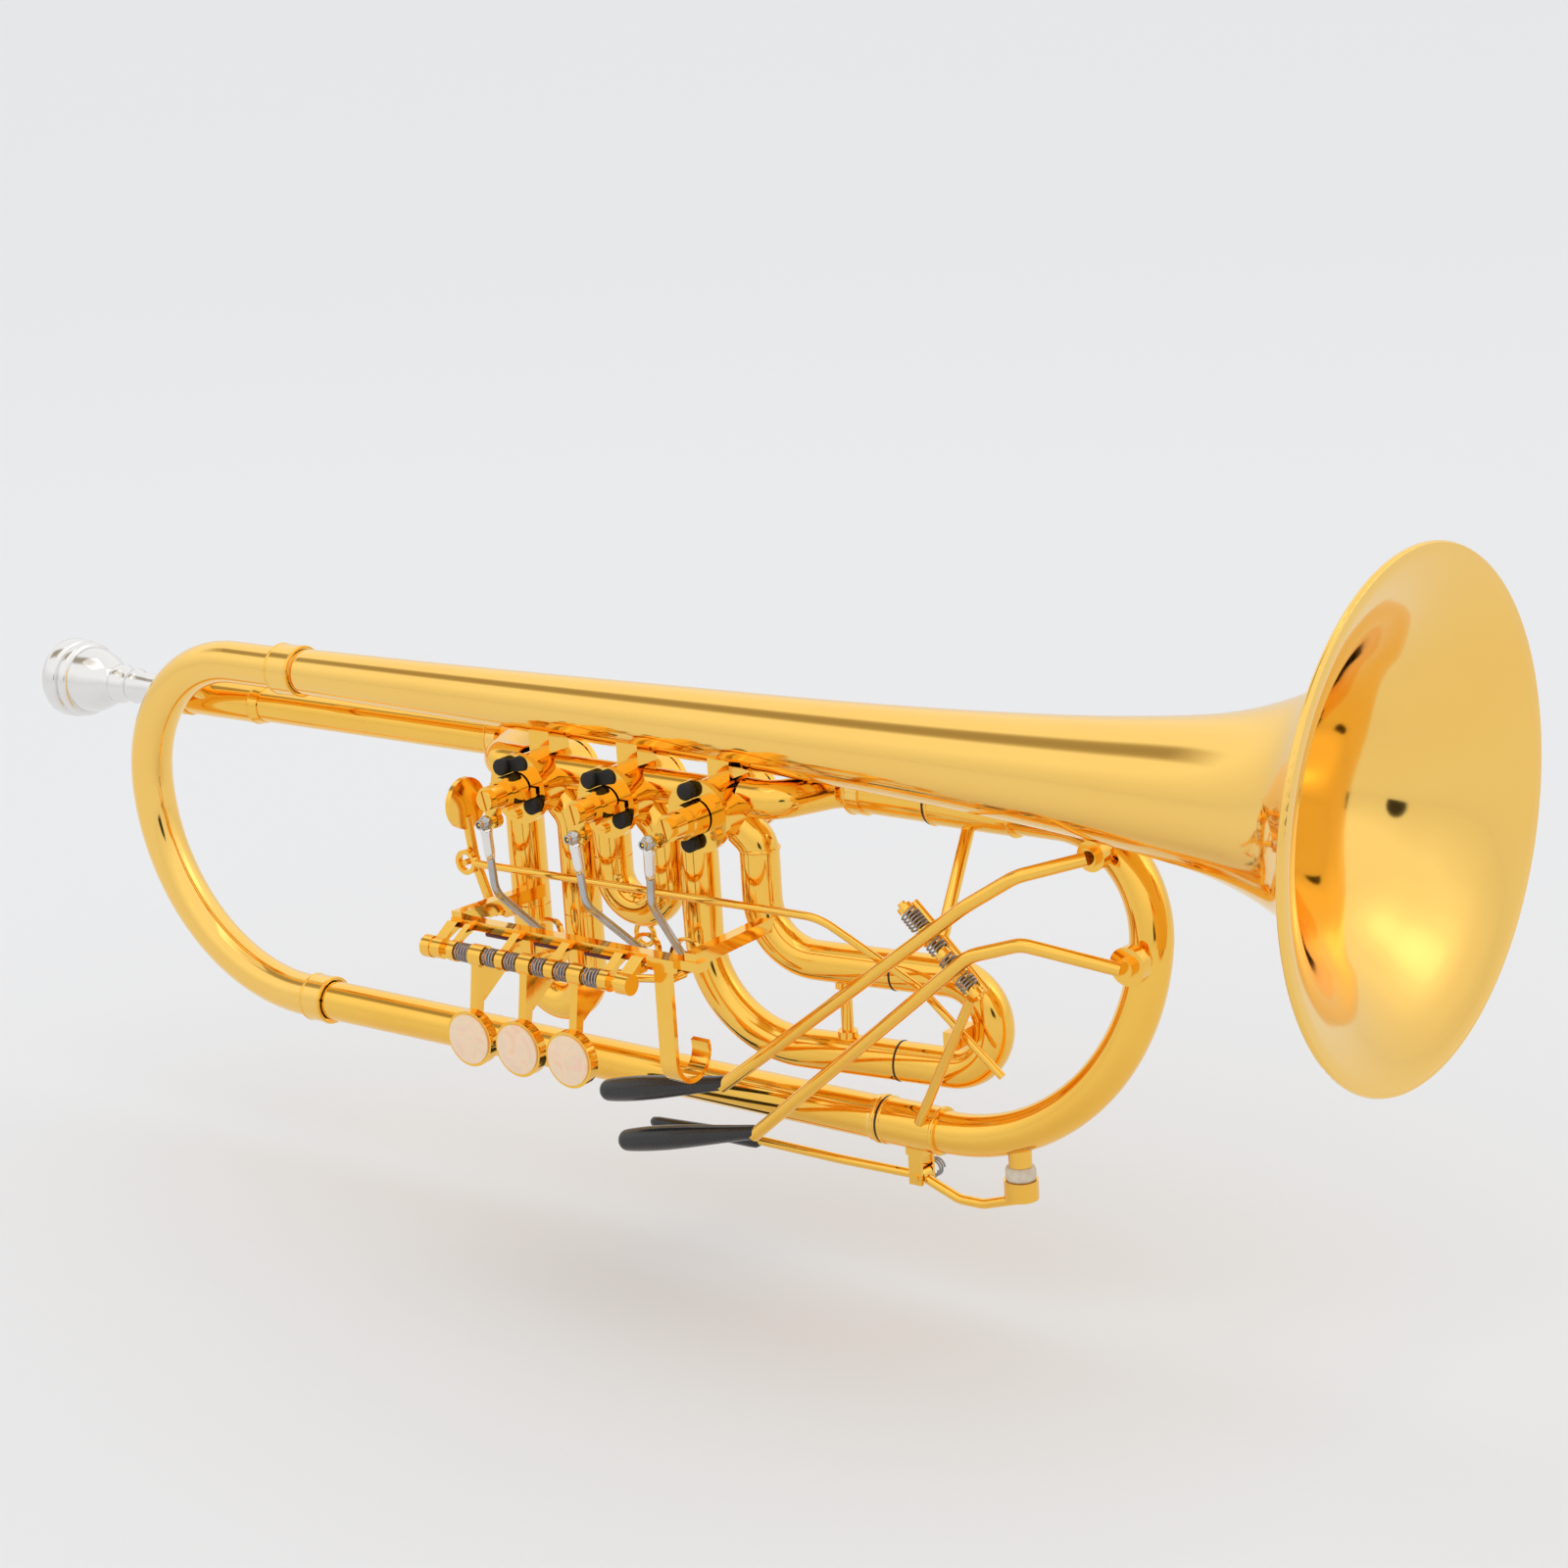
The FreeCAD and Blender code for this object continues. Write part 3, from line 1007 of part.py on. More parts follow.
def nipple(seat, centre, radius, bore):
    """A short vent tube from its seat to the wall of the front bow."""
    stub = cylinder(seat, centre, radius, bore).cut(made["main_slide_bow"])
    return largest(stub.cut(Part.makeSphere(FRONT_BOW_BORE + 0.2, centre)))


def make_vent_key(letter, path, bends, hub_at, cup, cup_radius, grip):
    shaft = rod([vec(*point) for point in path], bends, KEY_ROD_RADIUS)
    half = KEY_HUB_LENGTH / 2
    hub = cylinder(key_point(hub_at - half), key_point(hub_at + half), KEY_HUB_RADIUS)
    plate_end = cup - vec(0, CUP_DEPTH, 0)
    plate = cylinder(cup, plate_end, cup_radius)
    cap = cylinder(plate_end, plate_end - vec(0, CUP_CAP, 0), CUP_CAP_RADIUS)
    key = join([shaft, hub, plate, cap])
    key = key.cut(cylinder(key_point(-3), key_point(36), KEY_AXLE_RADIUS + RUNNING_FIT))
    butt, tip = (vec(*point) for point in grip)
    way = unit(tip - butt)
    length = (tip - butt).Length
    made[f"vent_key_{letter}"] = join([key, cylinder(butt, tip - way * GRIP_TANG_SHORT, GRIP_TANG_RADIUS)])
    widest = length * GRIP_WIDEST
    thin, thick, end = GRIP_RADII
    rubber = Part.makeCone(thin, thick, widest, butt + way * GRIP_BUTT_GAP, way)
    tail = Part.makeCone(thick, end, length - widest - GRIP_BUTT_GAP,
                         butt + way * (GRIP_BUTT_GAP + widest), way)
    grip_solid = join([rubber, tail, Part.makeSphere(end, tip)])
    made[f"vent_grip_{letter}"] = grip_solid.cut(made[f"vent_key_{letter}"])


def make_keys():
    upper_cup = vec(*UPPER_VENT)
    upper_bow = vec(UPPER_VENT[0], UPPER_VENT_BOW_Y, UPPER_VENT[2])
    lower_bow = front_bow_at_height(LOWER_VENT_BOW_Z)
    lower_cup = vec(lower_bow.x, LOWER_VENT_Y, lower_bow.z)
    gap = vec(0, VENT_GAP, 0)
    drain = front_bow_underside(WATER_NIPPLE_X)
    drain_seat = vec(drain.x, drain.y, WATER_NIPPLE_END_Z)
    gather("key_nipples", [
        nipple(upper_cup + gap, upper_bow, UPPER_VENT_RADIUS, VENT_BORE),
        nipple(lower_cup + gap, lower_bow, LOWER_VENT_RADIUS, VENT_BORE),
        nipple(drain_seat, drain, WATER_NIPPLE_RADIUS, WATER_NIPPLE_BORE),
    ])
    make_vent_key("a", UPPER_KEY_PATH, UPPER_KEY_BENDS, KEY_HUB_A, upper_cup, UPPER_CUP_RADIUS, UPPER_GRIP)
    make_vent_key("b", LOWER_KEY_PATH, LOWER_KEY_BENDS, KEY_HUB_B, lower_cup, LOWER_CUP_RADIUS, LOWER_GRIP)


def make_water_key():
    pivot = vec(*WATER_PIVOT)
    half = WATER_CHEEK_HALF
    saddle = [box(pivot.x - half, pivot.x + half, y, y + WATER_CHEEK_THICKNESS,
                  pivot.z - half, WATER_CHEEK_TOP_Z) for y in WATER_CHEEK_Y]
    saddle.append(across(pivot, WATER_PIN_HALF, WATER_PIN_RADIUS))
    saddle.append(box(pivot.x - WATER_FOOT_HALF, pivot.x + WATER_FOOT_HALF, -WATER_FOOT_Y, WATER_FOOT_Y,
                      WATER_FOOT_Z, WATER_CHEEK_TOP_Z))
    core = along_x(LOWER_GAP_X, LOWER_FERRULE_END_X, 0, BOTTOM_Z, SLIDE_FERRULE_RADIUS)
    made["water_key_saddle"] = join(saddle).cut(core)
    drain_y = front_bow_underside(WATER_NIPPLE_X).y
    cup_top, cup_low = (vec(WATER_NIPPLE_X, drain_y, z) for z in WATER_CUP_Z)
    front_path = [pivot - vec(0, 0, WATER_ARM_DROP)] + [vec(*point) for point in WATER_FRONT_PATH]
    front_path.append(vec(WATER_NIPPLE_X, drain_y, WATER_FRONT_END_Z))
    key = join([
        across(pivot, WATER_HUB_HALF, WATER_HUB_RADIUS),
        rod([vec(*point) for point in WATER_ARM_PATH], [WATER_ARM_BEND], WATER_ARM_RADIUS),
        rod(front_path, [WATER_FRONT_BEND, WATER_FRONT_BEND], WATER_FRONT_RADIUS),
        cylinder(cup_top, cup_low, WATER_CUP_RADIUS),
        cylinder(vec(*WATER_TANG[0]), vec(*WATER_TANG[1]), WATER_TANG_RADIUS),
    ])
    made["water_key"] = key.cut(across(pivot, 5, WATER_PIN_RADIUS + RUNNING_FIT))
    pad_top = vec(WATER_NIPPLE_X, drain_y, WATER_PAD_Z)
    made["water_key_pad"] = cylinder(pad_top, cup_top, WATER_PAD_RADIUS)
    grip = cylinder(vec(*WATER_GRIP[0]), vec(*WATER_GRIP[1]), WATER_GRIP_RADIUS)
    made["water_key_grip"] = grip.cut(made["water_key"])


whole_bell = make_bell()
make_main_tubing(whole_bell)
make_mouthpiece()
make_valves(whole_bell)
for number in range(3):
    make_rotor(number)
    make_link(number)
    make_lever(number)
make_short_slide("first", 0, FIRST_GAP_Z, FIRST_BOW_Z, FIRST_LEG_REACH)
make_short_slide("second", 1, SECOND_GAP_Z, SECOND_BOW_Z, SECOND_LEG_REACH)
make_third_slide()
make_lever_frame()
make_little_finger_hook()
make_trigger()
make_main_slide()
make_key_stand()
make_keys()
make_water_key()

os.makedirs("parts", exist_ok=True)
for name, shape in made.items():
    solids = shape.Solids
    if not shape.isValid():
        print("not valid", name)
    print(name, len(solids), round(shape.Volume, 1))
    solid = solids[0] if len(solids) == 1 else Part.makeCompound(solids)
    solid.exportStep(f"parts/{name}.step")
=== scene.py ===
import json
import math

import bmesh
import bpy
from mathutils import Matrix, Vector


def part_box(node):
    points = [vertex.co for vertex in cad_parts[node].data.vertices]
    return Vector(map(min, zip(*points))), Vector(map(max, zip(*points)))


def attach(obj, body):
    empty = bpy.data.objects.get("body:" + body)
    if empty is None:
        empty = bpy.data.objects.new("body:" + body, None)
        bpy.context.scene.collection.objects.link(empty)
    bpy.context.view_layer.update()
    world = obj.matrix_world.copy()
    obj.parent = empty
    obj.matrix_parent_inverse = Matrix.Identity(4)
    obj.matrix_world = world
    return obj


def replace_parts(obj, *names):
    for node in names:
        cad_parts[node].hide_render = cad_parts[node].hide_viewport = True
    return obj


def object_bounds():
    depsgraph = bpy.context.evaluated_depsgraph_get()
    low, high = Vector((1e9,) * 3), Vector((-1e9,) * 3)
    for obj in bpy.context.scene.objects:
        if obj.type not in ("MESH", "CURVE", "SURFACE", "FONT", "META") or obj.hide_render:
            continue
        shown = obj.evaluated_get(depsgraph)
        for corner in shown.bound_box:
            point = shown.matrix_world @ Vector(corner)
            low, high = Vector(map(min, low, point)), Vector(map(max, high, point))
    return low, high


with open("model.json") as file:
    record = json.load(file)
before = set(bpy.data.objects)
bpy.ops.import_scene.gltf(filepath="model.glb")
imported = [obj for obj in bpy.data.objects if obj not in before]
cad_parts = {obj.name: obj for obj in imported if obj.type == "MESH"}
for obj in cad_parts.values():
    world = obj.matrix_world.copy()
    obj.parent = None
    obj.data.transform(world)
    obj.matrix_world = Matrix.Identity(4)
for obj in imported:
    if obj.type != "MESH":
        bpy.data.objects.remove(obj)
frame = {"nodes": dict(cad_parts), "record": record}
cad_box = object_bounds()

# Lengths named below are millimetres in the frame of the solids and angles are degrees. The camera's
# place, the floor and the lamp are in metres, and so is the merge distance.
MM = 0.001
MERGE_DISTANCE = 1e-7
ON_AXIS = 0.001
ALONG_X = (1, 0, 0)
ALONG_Z = (0, 0, 1)
DOWN = (0, 0, -1)
LEVER_SIDE = (0, -1, 0)

# Steps in a full turn
SMALL_TURN = 32
GRIP_TURN = 40
TUBE_TURN = 64
MOUTHPIECE_TURN = 72
BELL_TURN = 160

# Sockets of a Mix node, which has several with the same name
MIX_FLOATS = (2, 3)
MIX_COLOURS = (6, 7)
MIX_FLOAT_OUT = 0
MIX_COLOUR_OUT = 2

# Camera, worked out from the photograph with the bell mouth at the origin
CAMERA_PLACE = (0.376324, -0.735630, 0.241090)
CAMERA_RIGHT = (0.79447, 0.60453, -0.05797)
CAMERA_DOWN = (0.11526, -0.24382, -0.96295)
CAMERA_AHEAD = (-0.59626, 0.75835, -0.26339)
FOCAL_PIXELS = 3439.24
PHOTO_PIXELS = 1600.0
SENSOR_WIDTH = 36.0

# Floor and lamp, in metres and watts
FLOOR_REACH = 80.0
FLOOR_DROP = 0.03
FLOOR_COLOUR = (0.835, 0.845, 0.865, 1)
FLOOR_ROUGHNESS = 0.9
LAMP_PLACE = (-0.5, -0.5, 2.4)
LAMP_AIM = (-0.25, 0.0, -0.03)
LAMP_SIZE = 1.6
LAMP_POWER = 4

# Room: tones by height, and tones by how nearly a direction points one way
ROOM_BY_HEIGHT = ((0.0, 0.80), (0.2, 0.88), (0.45, 1.02), (0.9, 1.0), (1.0, 0.95))
STRIPE_WAY = (0.0, -0.23, 0.97)
STRIPE_TONES = ((0.0, (1, 1, 1)), (0.955, (1, 1, 1)), (0.985, (0.46, 0.40, 0.32)), (1.0, (0.38, 0.33, 0.26)))
STRIPE_REACH = ((0.0, 0.0), (0.06, 0.0), (0.14, 1.0), (0.45, 1.0), (0.6, 0.0), (1.0, 0.0))
STAND_WAY = (0.748, -0.661, 0.064)
STAND_TONES = (
    (0.0, (1, 1, 1)), (0.990, (1, 1, 1)), (0.9925, (0.06, 0.055, 0.05)), (1.0, (0.05, 0.045, 0.04)),
)
WINDOW_WAY = (0.688, 0.43, 0.584)
WINDOW_TONES = (
    (0.0, (0, 0, 0)), (0.82, (0, 0, 0)), (0.92, (0.06, 0.06, 0.05)), (0.97, (0.2, 0.2, 0.19)),
    (1.0, (0.55, 0.55, 0.55)),
)

# Bell, as distance behind the mouth and outside radius
BELL_CURVE = (
    (0.0, 70.0), (-3.0, 61.0), (-8.0, 51.8), (-17.0, 41.6), (-30.0, 31.2), (-53.8, 22.5), (-86.2, 17.8),
    (-129.2, 14.5), (-183.1, 12.1), (-247.7, 10.4), (-323.0, 8.6), (-398.0, 7.3),
)
BELL_WALL = 0.7
BELL_STEPS = 8
LIP_X = -0.05
LIP_RADIUS = 69.3

# Tubing and valves, as in the solids
LEAD_Y = 14.3
LEAD_Z = -17.8
LOW_Z = -111.6
VALVE_X = (-288.0, -253.5, -219.2)
VALVE_Z = -21.3
PLATE_Y = -19.5
PORT_Y = -6.0
THIRD_YAW = 7.5

# Raised beads: name, place on a tube and the tube's outside radius
BEAD_THICK = 1.1
BEAD_HEIGHT = 0.32
BEAD_SINK = 0.3
BEAD_SEGMENTS = 8
BEADS = {
    "horn": (
        ("bell_bow_bead_front", (-395.4, 0, 0), 8.1),
        ("bell_bow_bead_back", (-404.6, 0, 0), 8.1),
        ("low_bow_bead_front", (-396.0, 0, LOW_Z), 7.6),
        ("low_bow_bead_back", (-404.0, 0, LOW_Z), 7.6),
        ("leadpipe_bead", (-326.4, LEAD_Y, LEAD_Z), 6.5),
        ("outlet_bead", (-186.8, LEAD_Y, LEAD_Z), 7.1),
        ("low_sleeve_bead", (-172.4, 0, LOW_Z), 7.0),
        ("receiver_bead", (-464.3, LEAD_Y, LEAD_Z), 6.9),
        ("receiver_end_bead", (-431.5, LEAD_Y, LEAD_Z), 6.5),
    ),
    "main_slide": (
        ("upper_ferrule_bead", (-158.2, LEAD_Y, LEAD_Z), 6.9),
        ("upper_ferrule_end_bead", (-130.9, LEAD_Y, LEAD_Z), 6.9),
        ("low_ferrule_bead", (-170.2, 0, LOW_Z), 6.9),
        ("low_ferrule_end_bead", (-151.9, 0, LOW_Z), 6.9),
    ),
}

# Painted shade: dark rings that stand for the shaded gap where the slides leave their sleeves, and the bead
# on the third slide's sleeve
LINE_HALF = 0.3
LINE_DEPTH = 0.35
LINE_RISE = 0.06
LOW_LINE_X = -171.15
UPPER_LINE_X = -159.15
THIRD_LINE_REACH = 54.05
THIRD_LINE_Z = (-65.5, -93.0)
THIRD_TUBE_RADIUS = 6.0
MAIN_TUBE_RADIUS = 7.0
THIRD_BEAD_REACH = 10.4
THIRD_BEAD_Z = -33.2
THIRD_BEAD = (5.9, 1.2, 0.35)

# Grips of the vent keys: letter, butt, tip and body. The swell is given as share of length and radius.
GRIPS = (
    ("a", (-216.0, -17.5, -102.6), (-262.0, -18.0, -113.0), "upper_vent_key"),
    ("b", (-205.6, -17.5, -116.0), (-256.0, -18.0, -128.0), "lower_vent_key"),
)
GRIP_END = 0.6
GRIP_BUTT = ((GRIP_END, 0.0), (GRIP_END, 1.9), (1.4, 2.2))
GRIP_SWELL = ((0.12, 2.35), (0.3, 2.85), (0.5, 3.45), (0.7, 3.9), (0.88, 3.75))
GRIP_NOSE_LENGTH = 3.4
GRIP_NOSE_RADIUS = 3.45
GRIP_NOSE_STEPS = 8

# Mouthpiece, as distance from its rim and radius: outside and then the cup and bore
MOUTHPIECE_X = -527.0
MOUTHPIECE_OUTLINE = (
    (1.5, 8.4), (0.5, 9.2), (0.0, 10.8), (0.6, 12.6), (2.0, 13.45), (3.2, 13.6), (6.4, 13.4), (7.0, 13.0),
    (7.3, 12.2), (8.1, 12.1), (8.5, 12.8), (9.2, 13.0), (10.9, 12.7), (11.5, 12.2), (11.8, 11.3),
    (12.7, 11.1), (14.5, 11.1), (17.0, 10.5), (19.5, 9.5), (21.8, 8.2), (23.6, 6.9), (24.6, 5.8),
    (25.3, 5.5), (25.8, 6.0), (26.8, 6.7), (28.5, 6.6), (30.0, 6.0), (31.5, 5.3), (33.5, 5.0),
    (34.2, 5.6), (35.5, 5.9), (36.6, 5.4), (37.4, 4.9), (44.0, 4.95), (87.0, 4.4), (87.0, 3.9),
    (44.0, 2.9), (24.0, 1.9), (20.0, 1.9), (15.0, 3.2), (11.0, 6.0), (5.0, 7.9), (2.2, 8.3),
)
MOUTHPIECE_SHARP = 50

# Stop corks by their angles on each valve, and the heart beside the upper cork of the first two
CORK_ANGLES = ((330, 122), (330, 122), (257, 105))
CORK_REACH = 8.0
CORK_OUTLINE = ((0, 0.0), (0, 2.5), (2.6, 2.58), (3.0, 2.35), (3.2, 1.8), (3.2, 0.0))
HEART_VALVES = (0, 1)
HEART_ANGLE = 100
HEART_POINT = 5.4
HEART_OUT = 7.4
HEART_ACROSS = 3.0
HEART_LOBE = 2.6
HEART_ARC = range(-50, 131, 20)
HEART_THICK = 0.8
HEART_ROUND = 0.25

# Felts under the levers' rail
FELT_X = (-280.0, -261.0, -241.5)
FELT_Y = -40.5
FELT_Z = -59.95
FELT_SIZE = (9.8, 3.7, 1.45)
FELT_ROUND = 0.55

# Soft parts of the water key
PAD_OUTLINE = ((0.05, 0.0), (0.05, 3.5), (0.35, 4.1), (1.0, 4.4), (3.2, 4.45), (3.9, 4.3), (3.9, 0.0))
TOUCH_START = (-258.0, -4.1, -127.0)
TOUCH_END = (-216.5, -3.5, -125.6)
TOUCH_OUTLINE = (
    (0.0, 0.0), (0.15, 0.9), (0.8, 1.5), (3.0, 1.75), (16.0, 2.0), (30.0, 2.35), (38.0, 2.55),
    (40.4, 2.45), (41.3, 1.9), (41.45, 1.2), (41.45, 0.0),
)

# Ball joints of the links: angle of the upper ball on its valve, x of the lower ball, z of the bend
BALL_JOINTS = ((281.0, -279.1, -48.5), (281.0, -241.4, -47.5), (220.0, -226.2, -44.0))
BALL_REACH = 6.2
LINK_Y = -36.0
BEND_SHARE = 0.25
BALL_PROUD = 0.1
COLLAR_OUTLINE = (
    (1.7, 0.0), (1.7, 1.5), (2.2, 1.78), (3.0, 1.85), (3.6, 1.7), (9.0, 1.6), (11.0, 1.3), (11.0, 0.0),
)
RING_OUTLINE = ((0.0, 0.8), (0.0, 1.35), (0.25, 1.35), (0.42, 1.15), (0.42, 0.9), (0.25, 0.8))
# Black disc in each ball end: painted shade standing for its hollow
HOLLOW_SHADE_OUTLINE = ((0.0, 0.0), (0.0, 0.82), (0.16, 0.82), (0.08, 0.3), (0.06, 0.0))


def mm(*values):
    """A vector in metres from lengths in millimetres."""
    return Vector(value * MM for value in values)


def node_tree(name):
    """A new material with its nodes, links and surface shader."""
    material = bpy.data.materials.new(name)
    material.use_nodes = True
    nodes = material.node_tree.nodes
    return material, nodes, material.node_tree.links, nodes["Principled BSDF"]


def add(nodes, kind, **inputs):
    """A new node with plain values in its named inputs."""
    node = nodes.new(kind)
    for key, value in inputs.items():
        node.inputs[key.replace("_", " ")].default_value = value
    return node


def ramp(nodes, stops):
    """A colour ramp with greys or colours at the given places."""
    node = nodes.new("ShaderNodeValToRGB")
    elements = node.color_ramp.elements
    while len(elements) < len(stops):
        elements.new(0.5)
    for element, (at, tone) in zip(elements, stops):
        element.position = at
        element.color = (*tone, 1) if isinstance(tone, tuple) else (tone, tone, tone, 1)
    return node


def cloudy_group():
    """Cloudy tone between two colours, with a roughness and a height that follow a finer grain."""
    group = bpy.data.node_groups.new("Cloudy tone", "ShaderNodeTree")
    face = group.interface
    for name, kind, value in (
        ("Pale", "NodeSocketColor", (1, 1, 1, 1)), ("Deep", "NodeSocketColor", (0, 0, 0, 1)),
        ("Scale", "NodeSocketFloat", 40.0), ("Smooth", "NodeSocketFloat", 0.1),
        ("Rough", "NodeSocketFloat", 0.2), ("Fine", "NodeSocketFloat", 900.0),
    ):
        socket = face.new_socket(name=name, in_out="INPUT", socket_type=kind)
        socket.default_value = value
    for name, kind in (("Colour", "NodeSocketColor"), ("Roughness", "NodeSocketFloat"),
                       ("Height", "NodeSocketFloat")):
        face.new_socket(name=name, in_out="OUTPUT", socket_type=kind)
    nodes = group.nodes
    links = group.links
    into = nodes.new("NodeGroupInput")
    out = nodes.new("NodeGroupOutput")
    place = nodes.new("ShaderNodeTexCoord")
    cloud = add(nodes, "ShaderNodeTexNoise", Detail=3.0, Roughness=0.55)
    grain = add(nodes, "ShaderNodeTexNoise", Detail=2.0, Roughness=0.6)
    tone = nodes.new("ShaderNodeMix")
    tone.data_type = "RGBA"
    gloss = nodes.new("ShaderNodeMix")
    for start, end in (
        (place.outputs["Object"], cloud.inputs["Vector"]),
        (place.outputs["Object"], grain.inputs["Vector"]),
        (into.outputs["Scale"], cloud.inputs["Scale"]),
        (into.outputs["Fine"], grain.inputs["Scale"]),
        (cloud.outputs["Fac"], tone.inputs["Factor"]),
        (into.outputs["Pale"], tone.inputs[MIX_COLOURS[0]]),
        (into.outputs["Deep"], tone.inputs[MIX_COLOURS[1]]),
        (grain.outputs["Fac"], gloss.inputs["Factor"]),
        (into.outputs["Smooth"], gloss.inputs[MIX_FLOATS[0]]),
        (into.outputs["Rough"], gloss.inputs[MIX_FLOATS[1]]),
        (tone.outputs[MIX_COLOUR_OUT], out.inputs["Colour"]),
        (gloss.outputs[MIX_FLOAT_OUT], out.inputs["Roughness"]),
        (grain.outputs["Fac"], out.inputs["Height"]),
    ):
        links.new(start, end)
    return group


CLOUDY = cloudy_group()
RELIEF_DISTANCE = 0.0002


def finish_material(name, pale, deep, scale, smooth, rough, fine, bump, metallic=0.0, coat=0.0,
                    coat_rough=0.05, sheen=0.0):
    """A material whose colour, gloss and relief come from the shared cloudy tone."""
    material, nodes, links, surface = node_tree(name)
    tone = nodes.new("ShaderNodeGroup")
    tone.node_tree = CLOUDY
    for key, value in (("Pale", (*pale, 1)), ("Deep", (*deep, 1)), ("Scale", scale),
                       ("Smooth", smooth), ("Rough", rough), ("Fine", fine)):
        tone.inputs[key].default_value = value
    relief = add(nodes, "ShaderNodeBump", Strength=bump, Distance=RELIEF_DISTANCE)
    links.new(tone.outputs["Colour"], surface.inputs["Base Color"])
    links.new(tone.outputs["Roughness"], surface.inputs["Roughness"])
    links.new(tone.outputs["Height"], relief.inputs["Height"])
    links.new(relief.outputs["Normal"], surface.inputs["Normal"])
    for key, value in (("Metallic", metallic), ("Coat Weight", coat), ("Coat Roughness", coat_rough),
                       ("Sheen Weight", sheen)):
        surface.inputs[key].default_value = value
    return material


LACQUER = finish_material(
    "gold_lacquer", (1.0, 0.63, 0.12), (0.97, 0.52, 0.07), scale=30.0, smooth=0.07, rough=0.11,
    fine=1400.0, bump=0.01, metallic=1.0, coat=0.15, coat_rough=0.04)
LACQUER_BELL = finish_material(
    "gold_lacquer_bell", (1.0, 0.66, 0.175), (0.99, 0.60, 0.14), scale=14.0, smooth=0.06, rough=0.10,
    fine=1200.0, bump=0.008, metallic=1.0, coat=0.12, coat_rough=0.04)
# Near-black brown for the painted shade in the gaps where the slides leave their sleeves
SLIDE_JOINT_SHADE = finish_material(
    "painted_joint_gap_shade", (0.05, 0.02, 0.008), (0.02, 0.008, 0.004), scale=300.0, smooth=0.4, rough=0.6,
    fine=2400.0, bump=0.1)
SILVER = finish_material(
    "silver_plate", (0.88, 0.87, 0.85), (0.78, 0.77, 0.75), scale=60.0, smooth=0.08, rough=0.16,
    fine=1500.0, bump=0.02, metallic=1.0, coat=0.2)
STEEL = finish_material(
    "polished_steel", (0.66, 0.65, 0.64), (0.36, 0.34, 0.32), scale=120.0, smooth=0.14, rough=0.26,
    fine=2000.0, bump=0.05, metallic=1.0)
SPRING = finish_material(
    "spring_wire", (0.42, 0.42, 0.45), (0.26, 0.26, 0.28), scale=200.0, smooth=0.25, rough=0.42,
    fine=2600.0, bump=0.08, metallic=1.0)
RUBBER = finish_material(
    "black_grip_rubber", (0.012, 0.012, 0.014), (0.004, 0.004, 0.005), scale=80.0, smooth=0.22,
    rough=0.34, fine=3000.0, bump=0.05, coat=0.25, coat_rough=0.2)
BUMPER = finish_material(
    "black_bumper_cork", (0.010, 0.009, 0.009), (0.003, 0.003, 0.003), scale=400.0, smooth=0.55,
    rough=0.8, fine=2600.0, bump=0.35)
FELT = finish_material(
    "dark_red_felt", (0.16, 0.012, 0.018), (0.07, 0.004, 0.008), scale=500.0, smooth=0.85, rough=0.98,
    fine=3200.0, bump=0.8, sheen=0.5)
CORK = finish_material(
    "pale_cork", (0.80, 0.74, 0.62), (0.55, 0.46, 0.34), scale=700.0, smooth=0.6, rough=0.85,
    fine=2200.0, bump=0.4)


PEARL_BANDS = (
    (0.30, (0.93, 0.60, 0.40)), (0.45, (0.96, 0.70, 0.47)), (0.58, (0.89, 0.69, 0.48)),
    (0.72, (0.95, 0.62, 0.45)),
)


def pearl_material():
    """Mother of pearl: slow bands of rose and cream under a clear coat."""
    material, nodes, links, surface = node_tree("mother_of_pearl")
    place = nodes.new("ShaderNodeTexCoord")
    swirl = add(nodes, "ShaderNodeTexNoise", Scale=130.0, Detail=2.0, Distortion=1.6)
    bands = ramp(nodes, PEARL_BANDS)
    relief = add(nodes, "ShaderNodeBump", Strength=0.06, Distance=RELIEF_DISTANCE)
    links.new(place.outputs["Object"], swirl.inputs["Vector"])
    links.new(swirl.outputs["Fac"], bands.inputs["Fac"])
    links.new(bands.outputs["Color"], surface.inputs["Base Color"])
    links.new(swirl.outputs["Fac"], relief.inputs["Height"])
    links.new(relief.outputs["Normal"], surface.inputs["Normal"])
    for key, value in (("Roughness", 0.28), ("Coat Weight", 0.6), ("Coat Roughness", 0.06)):
        surface.inputs[key].default_value = value
    return material


FINISH_OF_SLOT = {
    "lacquered_brass": LACQUER, "silver_plate": SILVER, "polished_steel": STEEL,
    "spring_steel": SPRING, "pearl": pearl_material(), "black_bumper": BUMPER, "red_felt": FELT,
    "black_rubber": RUBBER, "pale_cork": CORK,
}
BELL_FINISH_NODES = ("bell_rim_wire", "rear_bow", "ferrules")


def dress_frame():
    """Give every CAD node the finish of its slot."""
    slots = {row["node"]: row["material_slot"] for row in frame["record"]["subparts"]}
    for name, piece in frame["nodes"].items():
        finish = LACQUER_BELL if name in BELL_FINISH_NODES else FINISH_OF_SLOT[slots[name]]
        if not piece.material_slots:
            piece.data.materials.append(finish)
        for slot in piece.material_slots:
            slot.material = finish


def new_piece(name, shape, finish, body, smooth=True):
    """Turn a bmesh into a piece that rides on a body."""
    mesh = bpy.data.meshes.new(name)
    bmesh.ops.remove_doubles(shape, verts=shape.verts, dist=MERGE_DISTANCE)
    bmesh.ops.recalc_face_normals(shape, faces=shape.faces)
    shape.to_mesh(mesh)
    shape.free()
    if smooth:
        for face in mesh.polygons:
            face.use_smooth = True
    piece = bpy.data.objects.new(name, mesh)
    bpy.context.scene.collection.objects.link(piece)
    mesh.materials.append(finish)
    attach(piece, body)
    return piece


